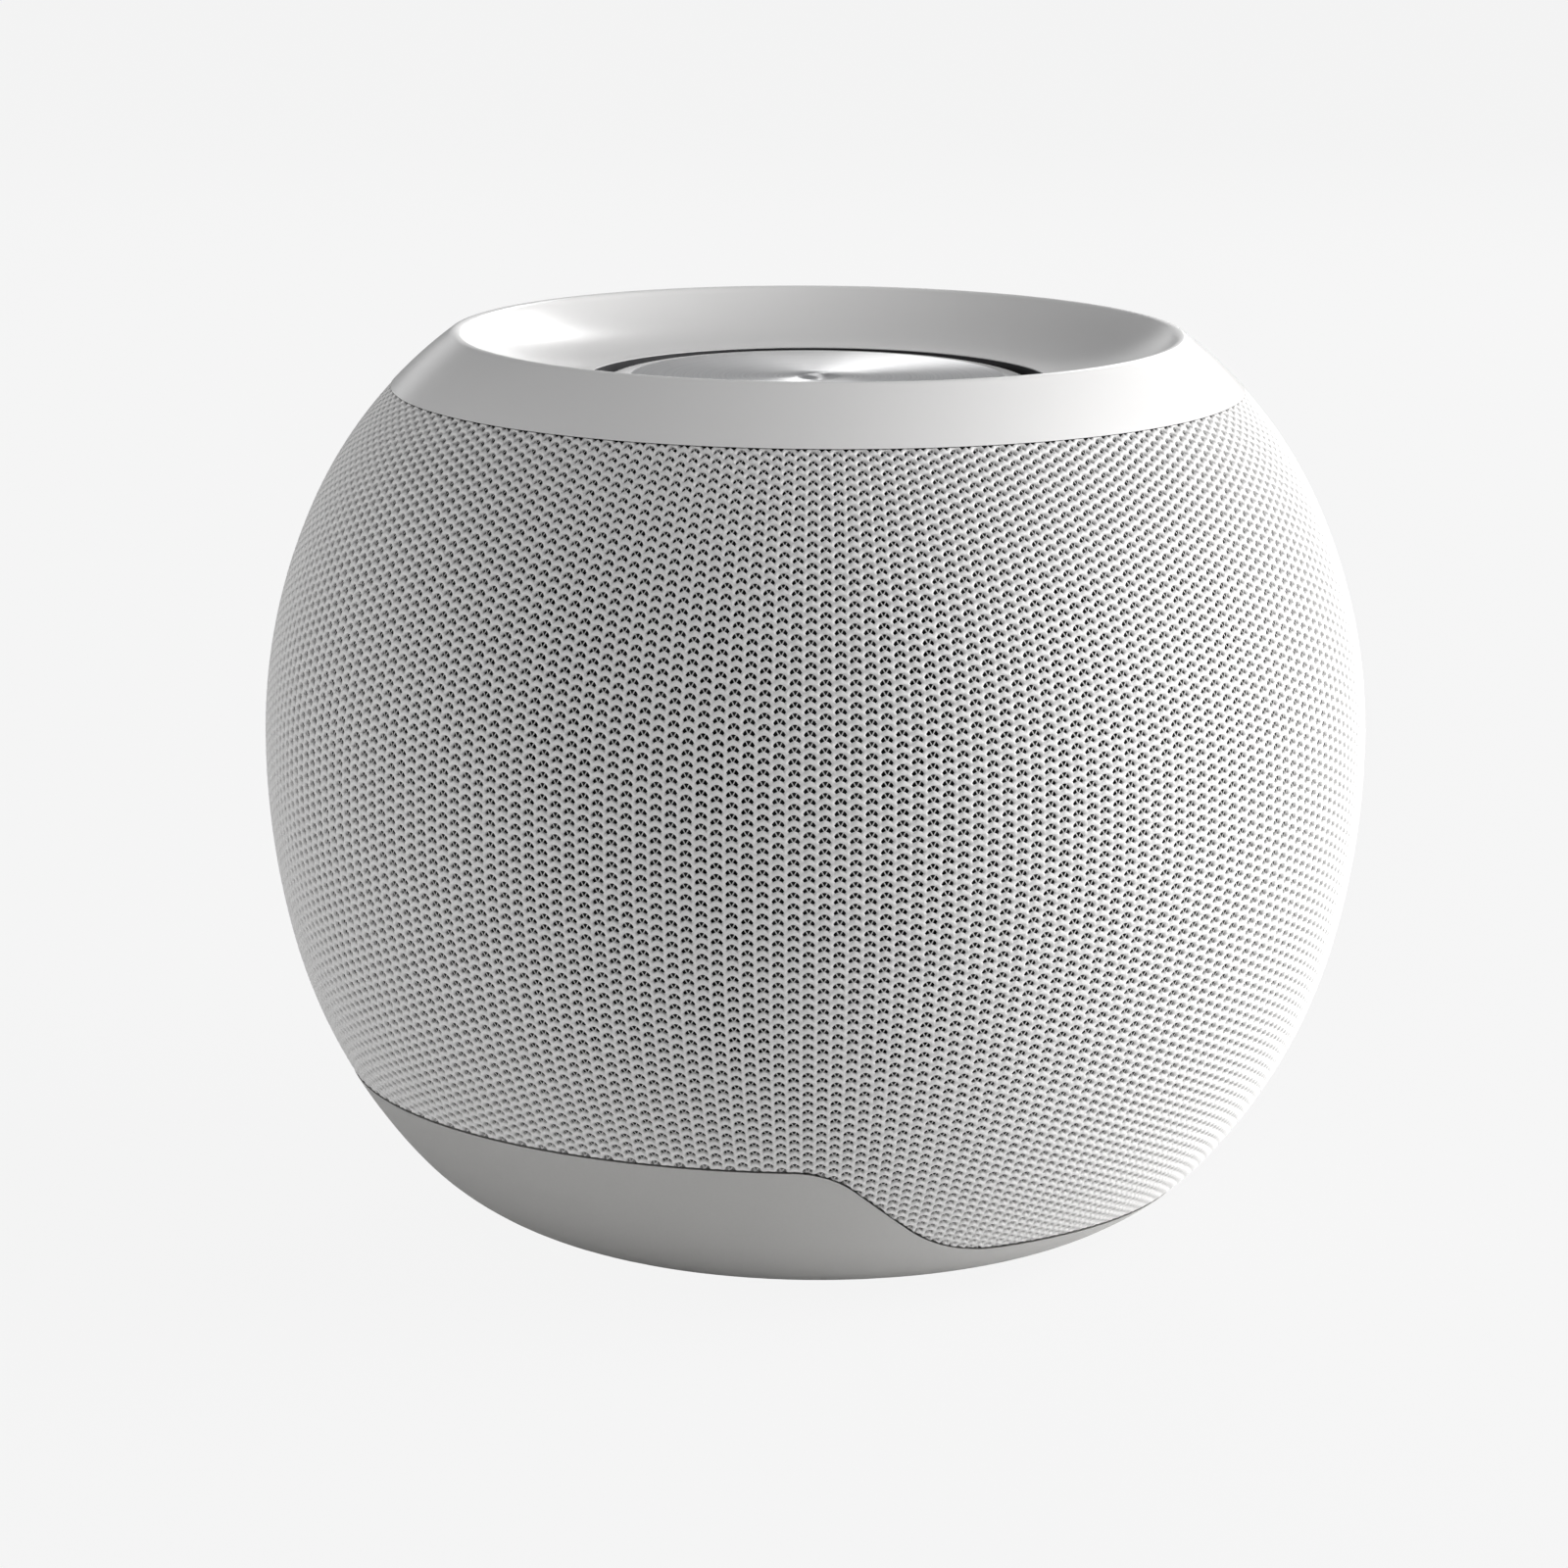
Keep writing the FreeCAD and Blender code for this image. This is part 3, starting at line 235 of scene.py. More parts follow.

# %% [markdown]
# ## The outline
# The body is a chain of arcs that meet without a corner, turned about the vertical axis. The
# CAD outline has the same arcs, so the knit is laid along this curve: a point
# is found from its distance down the curve and how deep it lies under the skin.

# %% Arcs of the outline
UPPER_ARC, UPPER_ANGLE = 71.1 * MM, math.radians(24.5)
RIDGE_ANGLE = math.radians(54.0)
LOWER_ARC, LOWER_ANGLE = 99.4 * MM, math.radians(14.9)
HEEL_ARC, HEEL_START, HEEL_END = 34.1 * MM, math.radians(42.2), math.radians(83.4)
RIDGE_HEIGHT, UNDERSIDE_DEPTH = 51.2 * MM, 63.8 * MM
SEAM_DROP = 7.1 * MM
underside_z = equator_z - UNDERSIDE_DEPTH
seam_z = equator_z + RIDGE_HEIGHT - SEAM_DROP

crown_arc = ((RIDGE_HEIGHT - UPPER_ARC * math.sin(UPPER_ANGLE))
             / (math.sin(RIDGE_ANGLE) - math.sin(UPPER_ANGLE)))
belly_arc = ((UNDERSIDE_DEPTH - LOWER_ARC * math.sin(LOWER_ANGLE)
              + HEEL_ARC * (math.sin(HEEL_START) - math.sin(HEEL_END)))
             / (math.sin(HEEL_START) - math.sin(LOWER_ANGLE)))


def towards(angle):
    """A unit step in the section plane, at an angle above the horizontal."""
    return np.array([math.cos(angle), math.sin(angle)])


upper = np.array([body_radius - UPPER_ARC, equator_z])
crown = upper + (UPPER_ARC - crown_arc) * towards(UPPER_ANGLE)
lower = np.array([body_radius - LOWER_ARC, equator_z])
belly = lower + (LOWER_ARC - belly_arc) * towards(-LOWER_ANGLE)
heel = belly + (belly_arc - HEEL_ARC) * towards(-HEEL_START)
seam_angle = math.asin((seam_z - crown[1]) / crown_arc)

# centre, radius, first and last angle of each arc, from the seam under the bezel downwards
ARCS = [(crown, crown_arc, seam_angle, UPPER_ANGLE), (upper, UPPER_ARC, UPPER_ANGLE, 0.0),
        (lower, LOWER_ARC, 0.0, -LOWER_ANGLE), (belly, belly_arc, -LOWER_ANGLE, -HEEL_START),
        (heel, HEEL_ARC, -HEEL_START, -HEEL_END)]
LENGTHS = [radius * (start - end) for _, radius, start, end in ARCS]
print("seam to underside along the skin:", round(sum(LENGTHS) / MM, 1), "mm")

# %% Point on the outline


def on_outline(down, inset):
    """Radius and height at a distance down the curve from the seam, an inset under the skin."""
    radius_out = np.zeros_like(down)
    height_out = np.zeros_like(down)
    left = down.copy()
    todo = np.ones(down.shape, bool)
    for number, (centre, radius, start, end) in enumerate(ARCS):
        last = number == len(ARCS) - 1
        here = todo & ((left <= LENGTHS[number]) | last)
        angle = start - left / radius
        radius_out[here] = (centre[0] + (radius - inset) * np.cos(angle))[here]
        height_out[here] = (centre[1] + (radius - inset) * np.sin(angle))[here]
        todo &= ~here
        left = left - LENGTHS[number]
    return radius_out, height_out


widest = on_outline(np.array([LENGTHS[0] + LENGTHS[1]]), np.zeros(1))[0][0]
print("radius at the widest:", round(widest / MM, 1), "mm")

# %% [markdown]
# The wave line between knit and base is a flat, an arc, a straight slope, an arc and a flat,
# seen from the side. Its place down the outline has no simple formula, so it is found by halving
# the gap between two guesses until the gap is far below what can be seen.

# %% Wave line
WAVE_BACK, WAVE_FRONT = underside_z + 21.0 * MM, underside_z + 7.1 * MM
WAVE_ANGLE, WAVE_TOP, WAVE_FOOT, WAVE_Y = math.radians(40), 12 * MM, 20 * MM, 1 * MM
HALVINGS = 36
drop = 1 - math.cos(WAVE_ANGLE)
wave_half = (WAVE_BACK - WAVE_FRONT - (WAVE_TOP + WAVE_FOOT) * drop) / math.tan(WAVE_ANGLE) / 2


def wave_height(y):
    """The height of the wave line at a distance towards the back."""
    foot_end = WAVE_Y - wave_half
    foot_start = foot_end - WAVE_FOOT * math.sin(WAVE_ANGLE)
    head_end = WAVE_Y + wave_half
    head_start = head_end + WAVE_TOP * math.sin(WAVE_ANGLE)
    low_arc = WAVE_FRONT + WAVE_FOOT - np.sqrt(
        np.maximum(WAVE_FOOT ** 2 - (y - foot_start) ** 2, 0))
    high_arc = WAVE_BACK - WAVE_TOP + np.sqrt(
        np.maximum(WAVE_TOP ** 2 - (y - head_start) ** 2, 0))
    slope = WAVE_FRONT + WAVE_FOOT * drop + (y - foot_end) * math.tan(WAVE_ANGLE)
    height = np.where(y < foot_start, WAVE_FRONT, low_arc)
    height = np.where(y > foot_end, slope, height)
    height = np.where(y > head_end, high_arc, height)
    return np.where(y > head_start, WAVE_BACK, height)


def wave_distance(azimuth):
    """How far down the curve the wave line lies, for each azimuth."""
    near = np.full(azimuth.shape, LENGTHS[0])
    far = np.full(azimuth.shape, sum(LENGTHS))
    for _ in range(HALVINGS):
        middle = (near + far) / 2
        radius, height = on_outline(middle, np.zeros_like(middle))
        above = height > wave_height(radius * np.sin(azimuth))
        near = np.where(above, middle, near)
        far = np.where(above, far, middle)
    return near


front_and_back = wave_distance(np.array([-math.pi / 2, math.pi / 2]))
print("seam to wave line, front and back:", [round(d / MM, 1) for d in front_and_back], "mm")

# %% [markdown]
# ## Finishes
# Each finish starts from the real material and how its surface was made. Nearly all are one
# Principled shader with its plain numbers on the sockets, and a fine grain from a noise in
# Object coordinates, so that the grain has its true size on every part.

# %% Finish helper


def finish(name, code, roughness, metallic=0.0, grain=0.3, depth=0.02, spread=0.04, **sockets):
    """A shader with a grain of a size and depth in millimetres and a slight colour spread."""
    material = bpy.data.materials.new(name)
    material.use_nodes = True
    tree = material.node_tree
    shader = tree.nodes["Principled BSDF"]
    shader.inputs["Roughness"].default_value = roughness
    shader.inputs["Metallic"].default_value = metallic
    for socket, value in sockets.items():
        shader.inputs[socket.replace("_", " ")].default_value = value
    place = node(tree, "ShaderNodeTexCoord")
    noise = node(tree, "ShaderNodeTexNoise", {"Scale": 1 / (grain * MM), "Detail": 2.0},
                 {"Vector": place.outputs["Object"]})
    base = colour(code)
    ramp = node(tree, "ShaderNodeValToRGB", {}, {"Fac": noise.outputs["Fac"]})
    ramp.color_ramp.elements[0].position = 0.3
    ramp.color_ramp.elements[1].position = 0.7
    for element, factor in zip(ramp.color_ramp.elements, (1 - spread, 1 + spread)):
        element.color = (*[min(1, c * factor) for c in base[:3]], 1)
    tree.links.new(ramp.outputs["Color"], shader.inputs["Base Color"])
    bump = node(tree, "ShaderNodeBump", {"Strength": 1.0, "Distance": depth * MM},
                {"Height": noise.outputs["Fac"]})
    tree.links.new(bump.outputs["Normal"], shader.inputs["Normal"])
    return material


print("a grain of 0.3 mm is a noise scale of", round(1 / (0.3 * MM)), "per metre")

# %% [markdown]
# The plain finishes: satin ABS for the base, textured black ABS inside, butyl rubber, cold
# rolled and plated steel, solder mask, ferrite, paper pulp, enamelled copper and film. The
# roughness numbers are usual ones for each, from 0.2 for nickel plate to 0.8 for rubber.

# %% Plain finishes
FINISHES = {
    "base_plastic": finish("satin_moulded_abs", "#B4B3B1", 0.45, grain=0.35, depth=0.006,
                           spread=0.015),
    "black_rubber": finish("black_rubber", "#1B1B1C", 0.8, grain=0.2, depth=0.03),
    "zinc_screw": finish("zinc_plated_steel", "#B9BBC0", 0.3, 1.0, grain=0.4, depth=0.004),
    "raw_steel": finish("cold_rolled_steel", "#8E9196", 0.42, 1.0, grain=0.5, depth=0.006),
    "green_board": finish("solder_mask", "#1E5B3A", 0.35, grain=1.2, depth=0.01, spread=0.12),
    "tinned_steel": finish("tinned_steel", "#C3C4C6", 0.33, 1.0, grain=0.8, depth=0.004),
    "black_plastic": finish("textured_black_abs", "#17171A", 0.6, grain=0.25, depth=0.02),
    "heat_sink_metal": finish("black_anodised_aluminium", "#26272B", 0.45, 1.0, grain=0.15,
                              depth=0.004),
    "nickel": finish("nickel_plate", "#CFCBC2", 0.2, 1.0, grain=0.5, depth=0.002),
    "grey_button": finish("satin_button_abs", "#A9A8A6", 0.45, grain=0.3, depth=0.006),
    "milky_plastic": finish("milky_diffuser", "#EFEEE8", 0.4, grain=0.6, depth=0.004,
                            Subsurface_Weight=0.4, Subsurface_Scale=0.002),
    "paper_cone": finish("coated_paper_pulp", "#222224", 0.75, grain=0.6, depth=0.05,
                         spread=0.15),
    "soft_rubber": finish("butyl_rubber", "#202022", 0.65, grain=0.3, depth=0.01),
    "ferrite": finish("ground_ferrite", "#2C2D30", 0.5, grain=0.3, depth=0.02, spread=0.15),
    "copper_wire": finish("enamelled_copper", "#B5652B", 0.3, 1.0, grain=0.2, depth=0.03,
                          spread=0.2),
    "amber_film": finish("polyimide_film", "#B4701F", 0.3, grain=1.5, depth=0.004),
    "spider_cloth": finish("resin_dipped_cloth", "#B68A4A", 0.8, grain=0.5, depth=0.08,
                           spread=0.2),
    "led_white": finish("led_package", "#F2EBC2", 0.4, grain=0.5, depth=0.004),
}
print(len(FINISHES), "plain finishes")

# %% [markdown]
# Gloss white is polished injection moulding: a white resin whose skin is smooth to the
# micron. Its look is nearly all reflection, so the grain is long, shallow orange peel that
# only bends the edges of the soft boxes a little.

# %% Gloss white
FINISHES["white_gloss"] = finish("gloss_white_moulding", "#E2E1E0", 0.24, grain=9, depth=0.008,
                                 spread=0.004, Specular_IOR_Level=0.4)
print("gloss white is", FINISHES["white_gloss"].name)

# %% [markdown]
# Spun aluminium is cut by a tool that stays still while the disc turns, so its scratches are
# rings. Rings reflect a lamp as a fan that points at the centre. The fan comes from an
# anisotropic highlight with its direction round the Z axis, and the rings from a noise that
# reads only the distance from the centre.

# %% Spun aluminium
RING_PITCH, RING_DEPTH = 0.35 * MM, 0.004 * MM


def spun_aluminium():
    material = bpy.data.materials.new("spun_aluminium")
    material.use_nodes = True
    tree = material.node_tree
    shader = tree.nodes["Principled BSDF"]
    shader.inputs["Metallic"].default_value = 1.0
    shader.inputs["Roughness"].default_value = 0.3
    shader.inputs["Anisotropic"].default_value = 0.85
    place = node(tree, "ShaderNodeTexCoord")
    split = node(tree, "ShaderNodeSeparateXYZ", {}, {"Vector": place.outputs["Object"]})
    flat = node(tree, "ShaderNodeCombineXYZ", {},
                {"X": split.outputs["X"], "Y": split.outputs["Y"]})
    reach = node(tree, "ShaderNodeVectorMath", {"operation": "LENGTH"},
                 {0: flat.outputs["Vector"]})
    rings = node(tree, "ShaderNodeTexNoise",
                 {"noise_dimensions": "1D", "Scale": 1 / RING_PITCH, "Detail": 3.0},
                 {"W": reach.outputs["Value"]})
    ramp = node(tree, "ShaderNodeValToRGB", {}, {"Fac": rings.outputs["Fac"]})
    ramp.color_ramp.elements[0].position = 0.25
    ramp.color_ramp.elements[0].color = colour("#DEDEDF")
    ramp.color_ramp.elements[1].position = 0.75
    ramp.color_ramp.elements[1].color = colour("#F0F0F0")
    bump = node(tree, "ShaderNodeBump", {"Strength": 1.0, "Distance": RING_DEPTH},
                {"Height": rings.outputs["Fac"]})
    around = node(tree, "ShaderNodeTangent", {"direction_type": "RADIAL", "axis": "Z"})
    tree.links.new(ramp.outputs["Color"], shader.inputs["Base Color"])
    tree.links.new(bump.outputs["Normal"], shader.inputs["Normal"])
    tree.links.new(around.outputs["Tangent"], shader.inputs["Tangent"])
    return material


FINISHES["spun_aluminium"] = spun_aluminium()
print("rings", RING_PITCH / MM, "mm apart")

# %% [markdown]
# The yarn is matte polyester, a light grey that is nearly white. Its fuzz gives a faint
# sheen at the rim of the body, and its filaments break the light up finely. The threads deep
# in the openings get the same yarn painted darker, as painted shade for the shadow there.

# %% Yarn
yarn = finish("polyester_yarn", "#DEDDDC", 0.75, grain=0.22, depth=0.05, spread=0.05,
              Sheen_Weight=0.15, Sheen_Roughness=0.5)
# The same yarn painted darker: painted shade for the threads inside the openings.
shade_painted_yarn = finish("polyester_yarn_with_painted_shade", "#C9C8C7", 0.8, grain=0.22, depth=0.03, spread=0.08)
FINISHES["grey_fabric"] = yarn
print("yarns:", yarn.name, "and", shade_painted_yarn.name)

# %% [markdown]
# Every CAD part gets the finish that its row in the record names. The two radiator plates
# lie behind the knit, and bare metal would shine through the openings, so they are
# painted matte black.

# %% Finishes on the CAD parts
slot_of = {row["node"]: row["material_slot"] for row in frame["record"]["subparts"]}
for name, part in frame["nodes"].items():
    dress(part, FINISHES[slot_of[name]])
for side in ("left", "right"):
    dress(frame["nodes"][side + "_radiator_plate"], FINISHES["black_plastic"])
print("dressed", len(slot_of), "CAD parts")

# %% [markdown]
# ## The knit
# The cover is a warp-knitted spacer mesh. Its face layer is a net of thick ribs round small
# staggered openings. Each opening is an arch over the head of a loop, and two thin threads
# cross it, which leaves three dark spots. From near by, holes that are really open read much
# better than a painted pattern. So one opening is modelled as rings of twelve points drawn
# inwards, it is repeated by two arrays into a flat sheet, and the sheet is laid on the
# outline. The knit is one tube on the real speaker. Here it is six sheets that meet along
# the ribs, so that none has too many triangles.

# %% Rings of one opening
COLUMNS = 240
SECTORS = 6
column = 2 * math.pi * body_radius / COLUMNS
row = 1.33 * MM
side_corner = column / 2 + row * row / (8 * column)
top_corner = column - side_corner
slant_x, slant_y = (side_corner + top_corner) / 2, row / 4

# half of each ring in millimetres, from the top round the right side to the bottom
CREST = [(0, row / 2 / MM, 0), (top_corner / MM, row / 2 / MM, 0.07),
         (slant_x / MM, slant_y / MM, 0), (side_corner / MM, 0, 0.07),
         (slant_x / MM, -slant_y / MM, 0), (top_corner / MM, -row / 2 / MM, 0.07),
         (0, -row / 2 / MM, 0)]
RIM = [(0, 0.53, -0.14), (0.30, 0.47, -0.14), (0.58, 0.25, -0.14), (0.76, -0.03, -0.16),
       (0.56, -0.29, -0.16), (0.24, -0.13, -0.02), (0, 0.0, 0.06)]
FOOT = [(0, 0.55, -0.4), (0.31, 0.49, -0.4), (0.60, 0.27, -0.4), (0.78, -0.03, -0.4),
        (0.58, -0.31, -0.4), (0.22, -0.16, -0.4), (0, -0.04, -0.4)]
print("one opening every", round(column / MM, 3), "mm across and", row / MM, "mm down")

# %% One opening of the knit


def ring_point(half_ring, turn):
    """The point of a mirrored ring at a number of twelfths of a turn from the top."""
    x, y, z = half_ring[min(turn, 12 - turn)]
    return Vector((x if turn <= 6 else -x, y, z)) * MM


def knit_opening(name, x, y):
    """One opening with the ribs round it, extruded inwards ring by ring."""
    deselect_all()
    bpy.ops.mesh.primitive_circle_add(vertices=12, radius=1, fill_type="NOTHING",
                                      location=(0, 0, 0))
    cell = bpy.context.object
    cell.name = name
    for vertex in cell.data.vertices:
        turn = round(math.degrees(math.atan2(vertex.co.x, vertex.co.y)) / 30) % 12
        vertex.co = ring_point(CREST, turn)
    ring = CREST
    bpy.ops.object.mode_set(mode="EDIT")
    bpy.ops.mesh.select_all(action="SELECT")
    for inner in (RIM, FOOT):
        bpy.ops.mesh.extrude_region_move(TRANSFORM_OT_translate={"value": (0, 0, 0)})
        bpy.ops.object.mode_set(mode="OBJECT")
        places = [ring_point(ring, turn) for turn in range(12)]
        for vertex in cell.data.vertices:
            if vertex.select:
                gaps = [(vertex.co - place).length for place in places]
                vertex.co = ring_point(inner, gaps.index(min(gaps)))
        ring = inner
        bpy.ops.object.mode_set(mode="EDIT")
    bpy.ops.mesh.select_all(action="SELECT")
    bpy.ops.mesh.normals_make_consistent(inside=False)
    bpy.ops.object.mode_set(mode="OBJECT")
    if cell.data.polygons[0].normal.z < 0:
        cell.data.flip_normals()
    cell.location = (x, y, 0)
    bpy.ops.object.transform_apply(location=True, rotation=False, scale=False)
    return cell


opening = knit_opening("knit", 0, 0)
neighbour = knit_opening("knit_neighbour", column, row / 2)
print("two openings of", len(opening.data.polygons), "faces each")

# %% [markdown]
# Neighbouring columns are half a row apart, so the pair is the pattern's smallest unit. One
# array repeats it down and one across, and points that fall together are welded.

# %% Flat sheet of knit
WELD = 0.01 * MM


def repeat(piece, count, step, merge):
    """Repeats a piece along a step, and can weld the copies where they meet."""
    array = piece.modifiers.new("repeat", "ARRAY")
    array.count = count
    array.use_relative_offset = False
    array.use_constant_offset = True
    array.constant_offset_displace = step
    array.use_merge_vertices = merge
    array.merge_threshold = WELD
    apply_modifiers(piece)


def join(pieces):
    only(pieces[0])
    for piece in pieces[1:]:
        piece.select_set(True)
    bpy.ops.object.join()
    return pieces[0]


first = join([opening, neighbour])
only(first)
bpy.ops.object.mode_set(mode="EDIT")
bpy.ops.mesh.select_all(action="SELECT")
bpy.ops.mesh.remove_doubles(threshold=WELD)
bpy.ops.object.mode_set(mode="OBJECT")
ROWS = int(sum(LENGTHS[:4]) / row) + 7
repeat(first, ROWS, (0, -row, 0), True)
repeat(first, COLUMNS // SECTORS // 2, (2 * column, 0, 0), True)
print("flat sheet of knit:", len(first.data.polygons), "faces,", ROWS, "rows")

# %% [markdown]
# Laying a sheet on is arithmetic: across becomes the azimuth, down becomes the distance
# along the outline, and the height becomes the depth under the skin. Where the sheet runs
# past the bezel's seam or the wave line, it turns inwards, as the real hem does, and what
# would lie deeper than the hem is cut off.

# %% Laying helper
HEM = 1.1 * MM
WAVE_CLEARANCE = 0.05 * MM
START_ROWS = 2
KNIT_INSET = 0.15 * MM


def lay(piece, first_azimuth, depth):
    """Wraps a flat sheet on the outline and trims it to the seam and the wave line."""
    mesh = piece.data
    points = np.zeros(len(mesh.vertices) * 3)
    mesh.vertices.foreach_get("co", points)
    points = points.reshape(-1, 3)
    azimuth = first_azimuth + points[:, 0] / body_radius
    down = -points[:, 1] - START_ROWS * row
    inset = depth - points[:, 2]
    edge = wave_distance(azimuth) - WAVE_CLEARANCE
    over = np.maximum(down - edge, 0) + np.maximum(-down, 0)
    down = np.clip(down, 0, edge)
    radius, height = on_outline(down, inset + over)
    points[:, 0] = radius * np.cos(azimuth)
    points[:, 1] = radius * np.sin(azimuth)
    points[:, 2] = height
    mesh.vertices.foreach_set("co", points.ravel())
    mesh.update()
    only(piece)
    bpy.ops.object.mode_set(mode="EDIT")
    bpy.ops.mesh.select_mode(type="VERT")
    bpy.ops.mesh.select_all(action="DESELECT")
    bpy.ops.object.mode_set(mode="OBJECT")
    mesh.vertices.foreach_set("select", over > HEM)
    bpy.ops.object.mode_set(mode="EDIT")
    bpy.ops.mesh.delete(type="VERT")
    bpy.ops.object.mode_set(mode="OBJECT")


print("the knit lies", KNIT_INSET / MM, "mm under the skin, with a hem of", HEM / MM, "mm")

# %% [markdown]
# Two sheets meet along a line of ribs. Shaded apart, each would have its own normals there,
# and the line would show. So the points that both sheets have get the sum of both normals.

# %% Six sheets
SAME_PLACE = 0.002 * MM


def share_border_normals(pieces):
    """Gives the points that two sheets share one normal, so that no join shows."""
    sums, found = {}, []
    for piece in pieces:
        mesh = piece.data
        count = len(mesh.vertices)
        places, normals = np.zeros(count * 3), np.zeros(count * 3)
        mesh.vertices.foreach_get("co", places)
        mesh.vertex_normals.foreach_get("vector", normals)
        places, normals = places.reshape(-1, 3), normals.reshape(-1, 3)
        turn = np.arctan2(places[:, 1], places[:, 0]) / sector
        near = np.nonzero(abs(turn - np.round(turn)) * sector < 1.2 * column / body_radius)[0]
        keys = [tuple(np.round(places[i] / SAME_PLACE).astype(int)) for i in near]
        for index, key in zip(near, keys):
            sums[key] = sums.get(key, 0) + normals[index]
        found.append((mesh, normals, near, keys))
    for mesh, normals, near, keys in found:
        for index, key in zip(near, keys):
            normals[index] = sums[key] / np.linalg.norm(sums[key])
        mesh.normals_split_custom_set_from_vertices(normals.tolist())


sector = 2 * math.pi / SECTORS
knits = []
for number in range(SECTORS):
    sheet = first.copy()
    sheet.data = first.data.copy()
    sheet.name = "knit_sheet_%d" % (number + 1)
    bpy.context.scene.collection.objects.link(sheet)
    lay(sheet, number * sector, KNIT_INSET)
    only(sheet)
    bpy.ops.object.shade_smooth()
    dress(sheet, yarn)
    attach(sheet, "cabinet")
    knits.append(sheet)
share_border_normals(knits)
bpy.data.objects.remove(first)
print("knit", [triangles(sheet) for sheet in knits], "triangles")

# %% [markdown]
# Two thin threads lean together over each loop head. A flat strip is enough for a thread
# that is seen only inside an opening, and the same two arrays repeat it.

# %% Crossing threads
THREAD, THREAD_LENGTH, THREAD_DEPTH = 0.13 * MM, 0.62 * MM, 0.16 * MM
THREAD_ASIDE, THREAD_ABOVE, THREAD_LEAN = 0.22 * MM, 0.20 * MM, math.radians(62)


def strip(name, x, y, lean):
    """A flat length of thread, leaning by an angle in the plane of the sheet."""
    deselect_all()
    bpy.ops.mesh.primitive_plane_add(size=1, location=(0, 0, 0))
    thread = bpy.context.object
    thread.name = name
    thread.scale = (THREAD_LENGTH, THREAD, 1)
    bpy.ops.object.transform_apply(location=False, rotation=False, scale=True)
    thread.rotation_euler = (0, 0, lean)
    thread.location = (x, y, 0)
    bpy.ops.object.transform_apply(location=True, rotation=True, scale=False)
    return thread


crossing = []
for x, y in ((0, 0), (column, row / 2)):
    for side in (-1, 1):
        crossing.append(strip("thread_%d" % len(crossing), x + side * THREAD_ASIDE,
                              y + THREAD_ABOVE, side * THREAD_LEAN))
threads = join(crossing)
threads.name = "knit_threads"
repeat(threads, ROWS, (0, -row, 0), False)
repeat(threads, COLUMNS // 2, (2 * column, 0, 0), False)
lay(threads, 0, KNIT_INSET + THREAD_DEPTH)
# The darker yarn on the threads is painted shade for the inside of the openings.
dress(threads, shade_painted_yarn)
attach(threads, "cabinet")
print("threads", triangles(threads), "triangles")

# %% [markdown]
# Each sheet's size when it is laid out flat is printed: a sixth of the round at the widest,
# by the longest way from the seam to the wave line. The tube narrows towards both ends,
# where it is stretched less, so the area is worked out apart from that rectangle.

# %% Flat sizes of the sheets
AREA_STEPS = 60


def skin_area(first_azimuth, last_azimuth):
    """The cover's area between two azimuths, from the seam to the wave line."""
    azimuths = np.linspace(first_azimuth, last_azimuth, AREA_STEPS)
    total = 0.0
    for reach in wave_distance(azimuths):
        radius, _ = on_outline(np.linspace(0, reach, AREA_STEPS), np.zeros(AREA_STEPS))
        total += float(radius.mean() * reach)
    return total / AREA_STEPS * (last_azimuth - first_azimuth)


for number, sheet in enumerate(knits):
    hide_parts("fabric_sleeve")
    start = number * sector
    deepest = float(wave_distance(np.linspace(start, start + sector, AREA_STEPS)).max())
    area = skin_area(start, start + sector)
    print(sheet.name, "flat", round(sector * body_radius, 4), round(deepest, 4), "area",
          round(area, 5))

# %% [markdown]
# ## The bezel and the gap
# The bezel is one gloss moulding: a crown that carries on the body's curve, a small round at
# the ridge and a concave dish. Turning its section round the axis gives a mesh as smooth as
# the mould. A thin black ring lines the hole, and seen past the knob it is the thin dark
# line round the metal.

# %% Spin helper
TURN_STEPS = 288


def arc(centre, radius, start, end, steps):
    """Points along an arc in the section plane, angles in radians."""
    return [(centre[0] + radius * math.cos(start + (end - start) * i / steps),
             centre[1] + radius * math.sin(start + (end - start) * i / steps))
            for i in range(steps + 1)]


def turned(name, section):
    """Turns a closed section of (radius, height) points about Z."""
    mesh = bpy.data.meshes.new(name)
    count = len(section)
    mesh.from_pydata([(r, 0, z) for r, z in section],
                     [(i, (i + 1) % count) for i in range(count)], [])
    piece = bpy.data.objects.new(name, mesh)
    bpy.context.scene.collection.objects.link(piece)
    only(piece)
    bpy.ops.object.mode_set(mode="EDIT")
    bpy.ops.mesh.select_all(action="SELECT")
    bpy.ops.mesh.spin(steps=TURN_STEPS, angle=2 * math.pi, center=(0, 0, 0), axis=(0, 0, 1))
    bpy.ops.mesh.select_all(action="SELECT")
    bpy.ops.mesh.remove_doubles(threshold=0.002 * MM)
    bpy.ops.mesh.normals_make_consistent(inside=False)
    bpy.ops.object.mode_set(mode="OBJECT")
    bpy.ops.object.shade_smooth_by_angle(angle=math.radians(35))
    print(name, triangles(piece), "triangles")
    return piece


print("one facet of the turned pieces is", round(2 * math.pi * body_radius / TURN_STEPS / MM, 2),
      "mm wide at most")

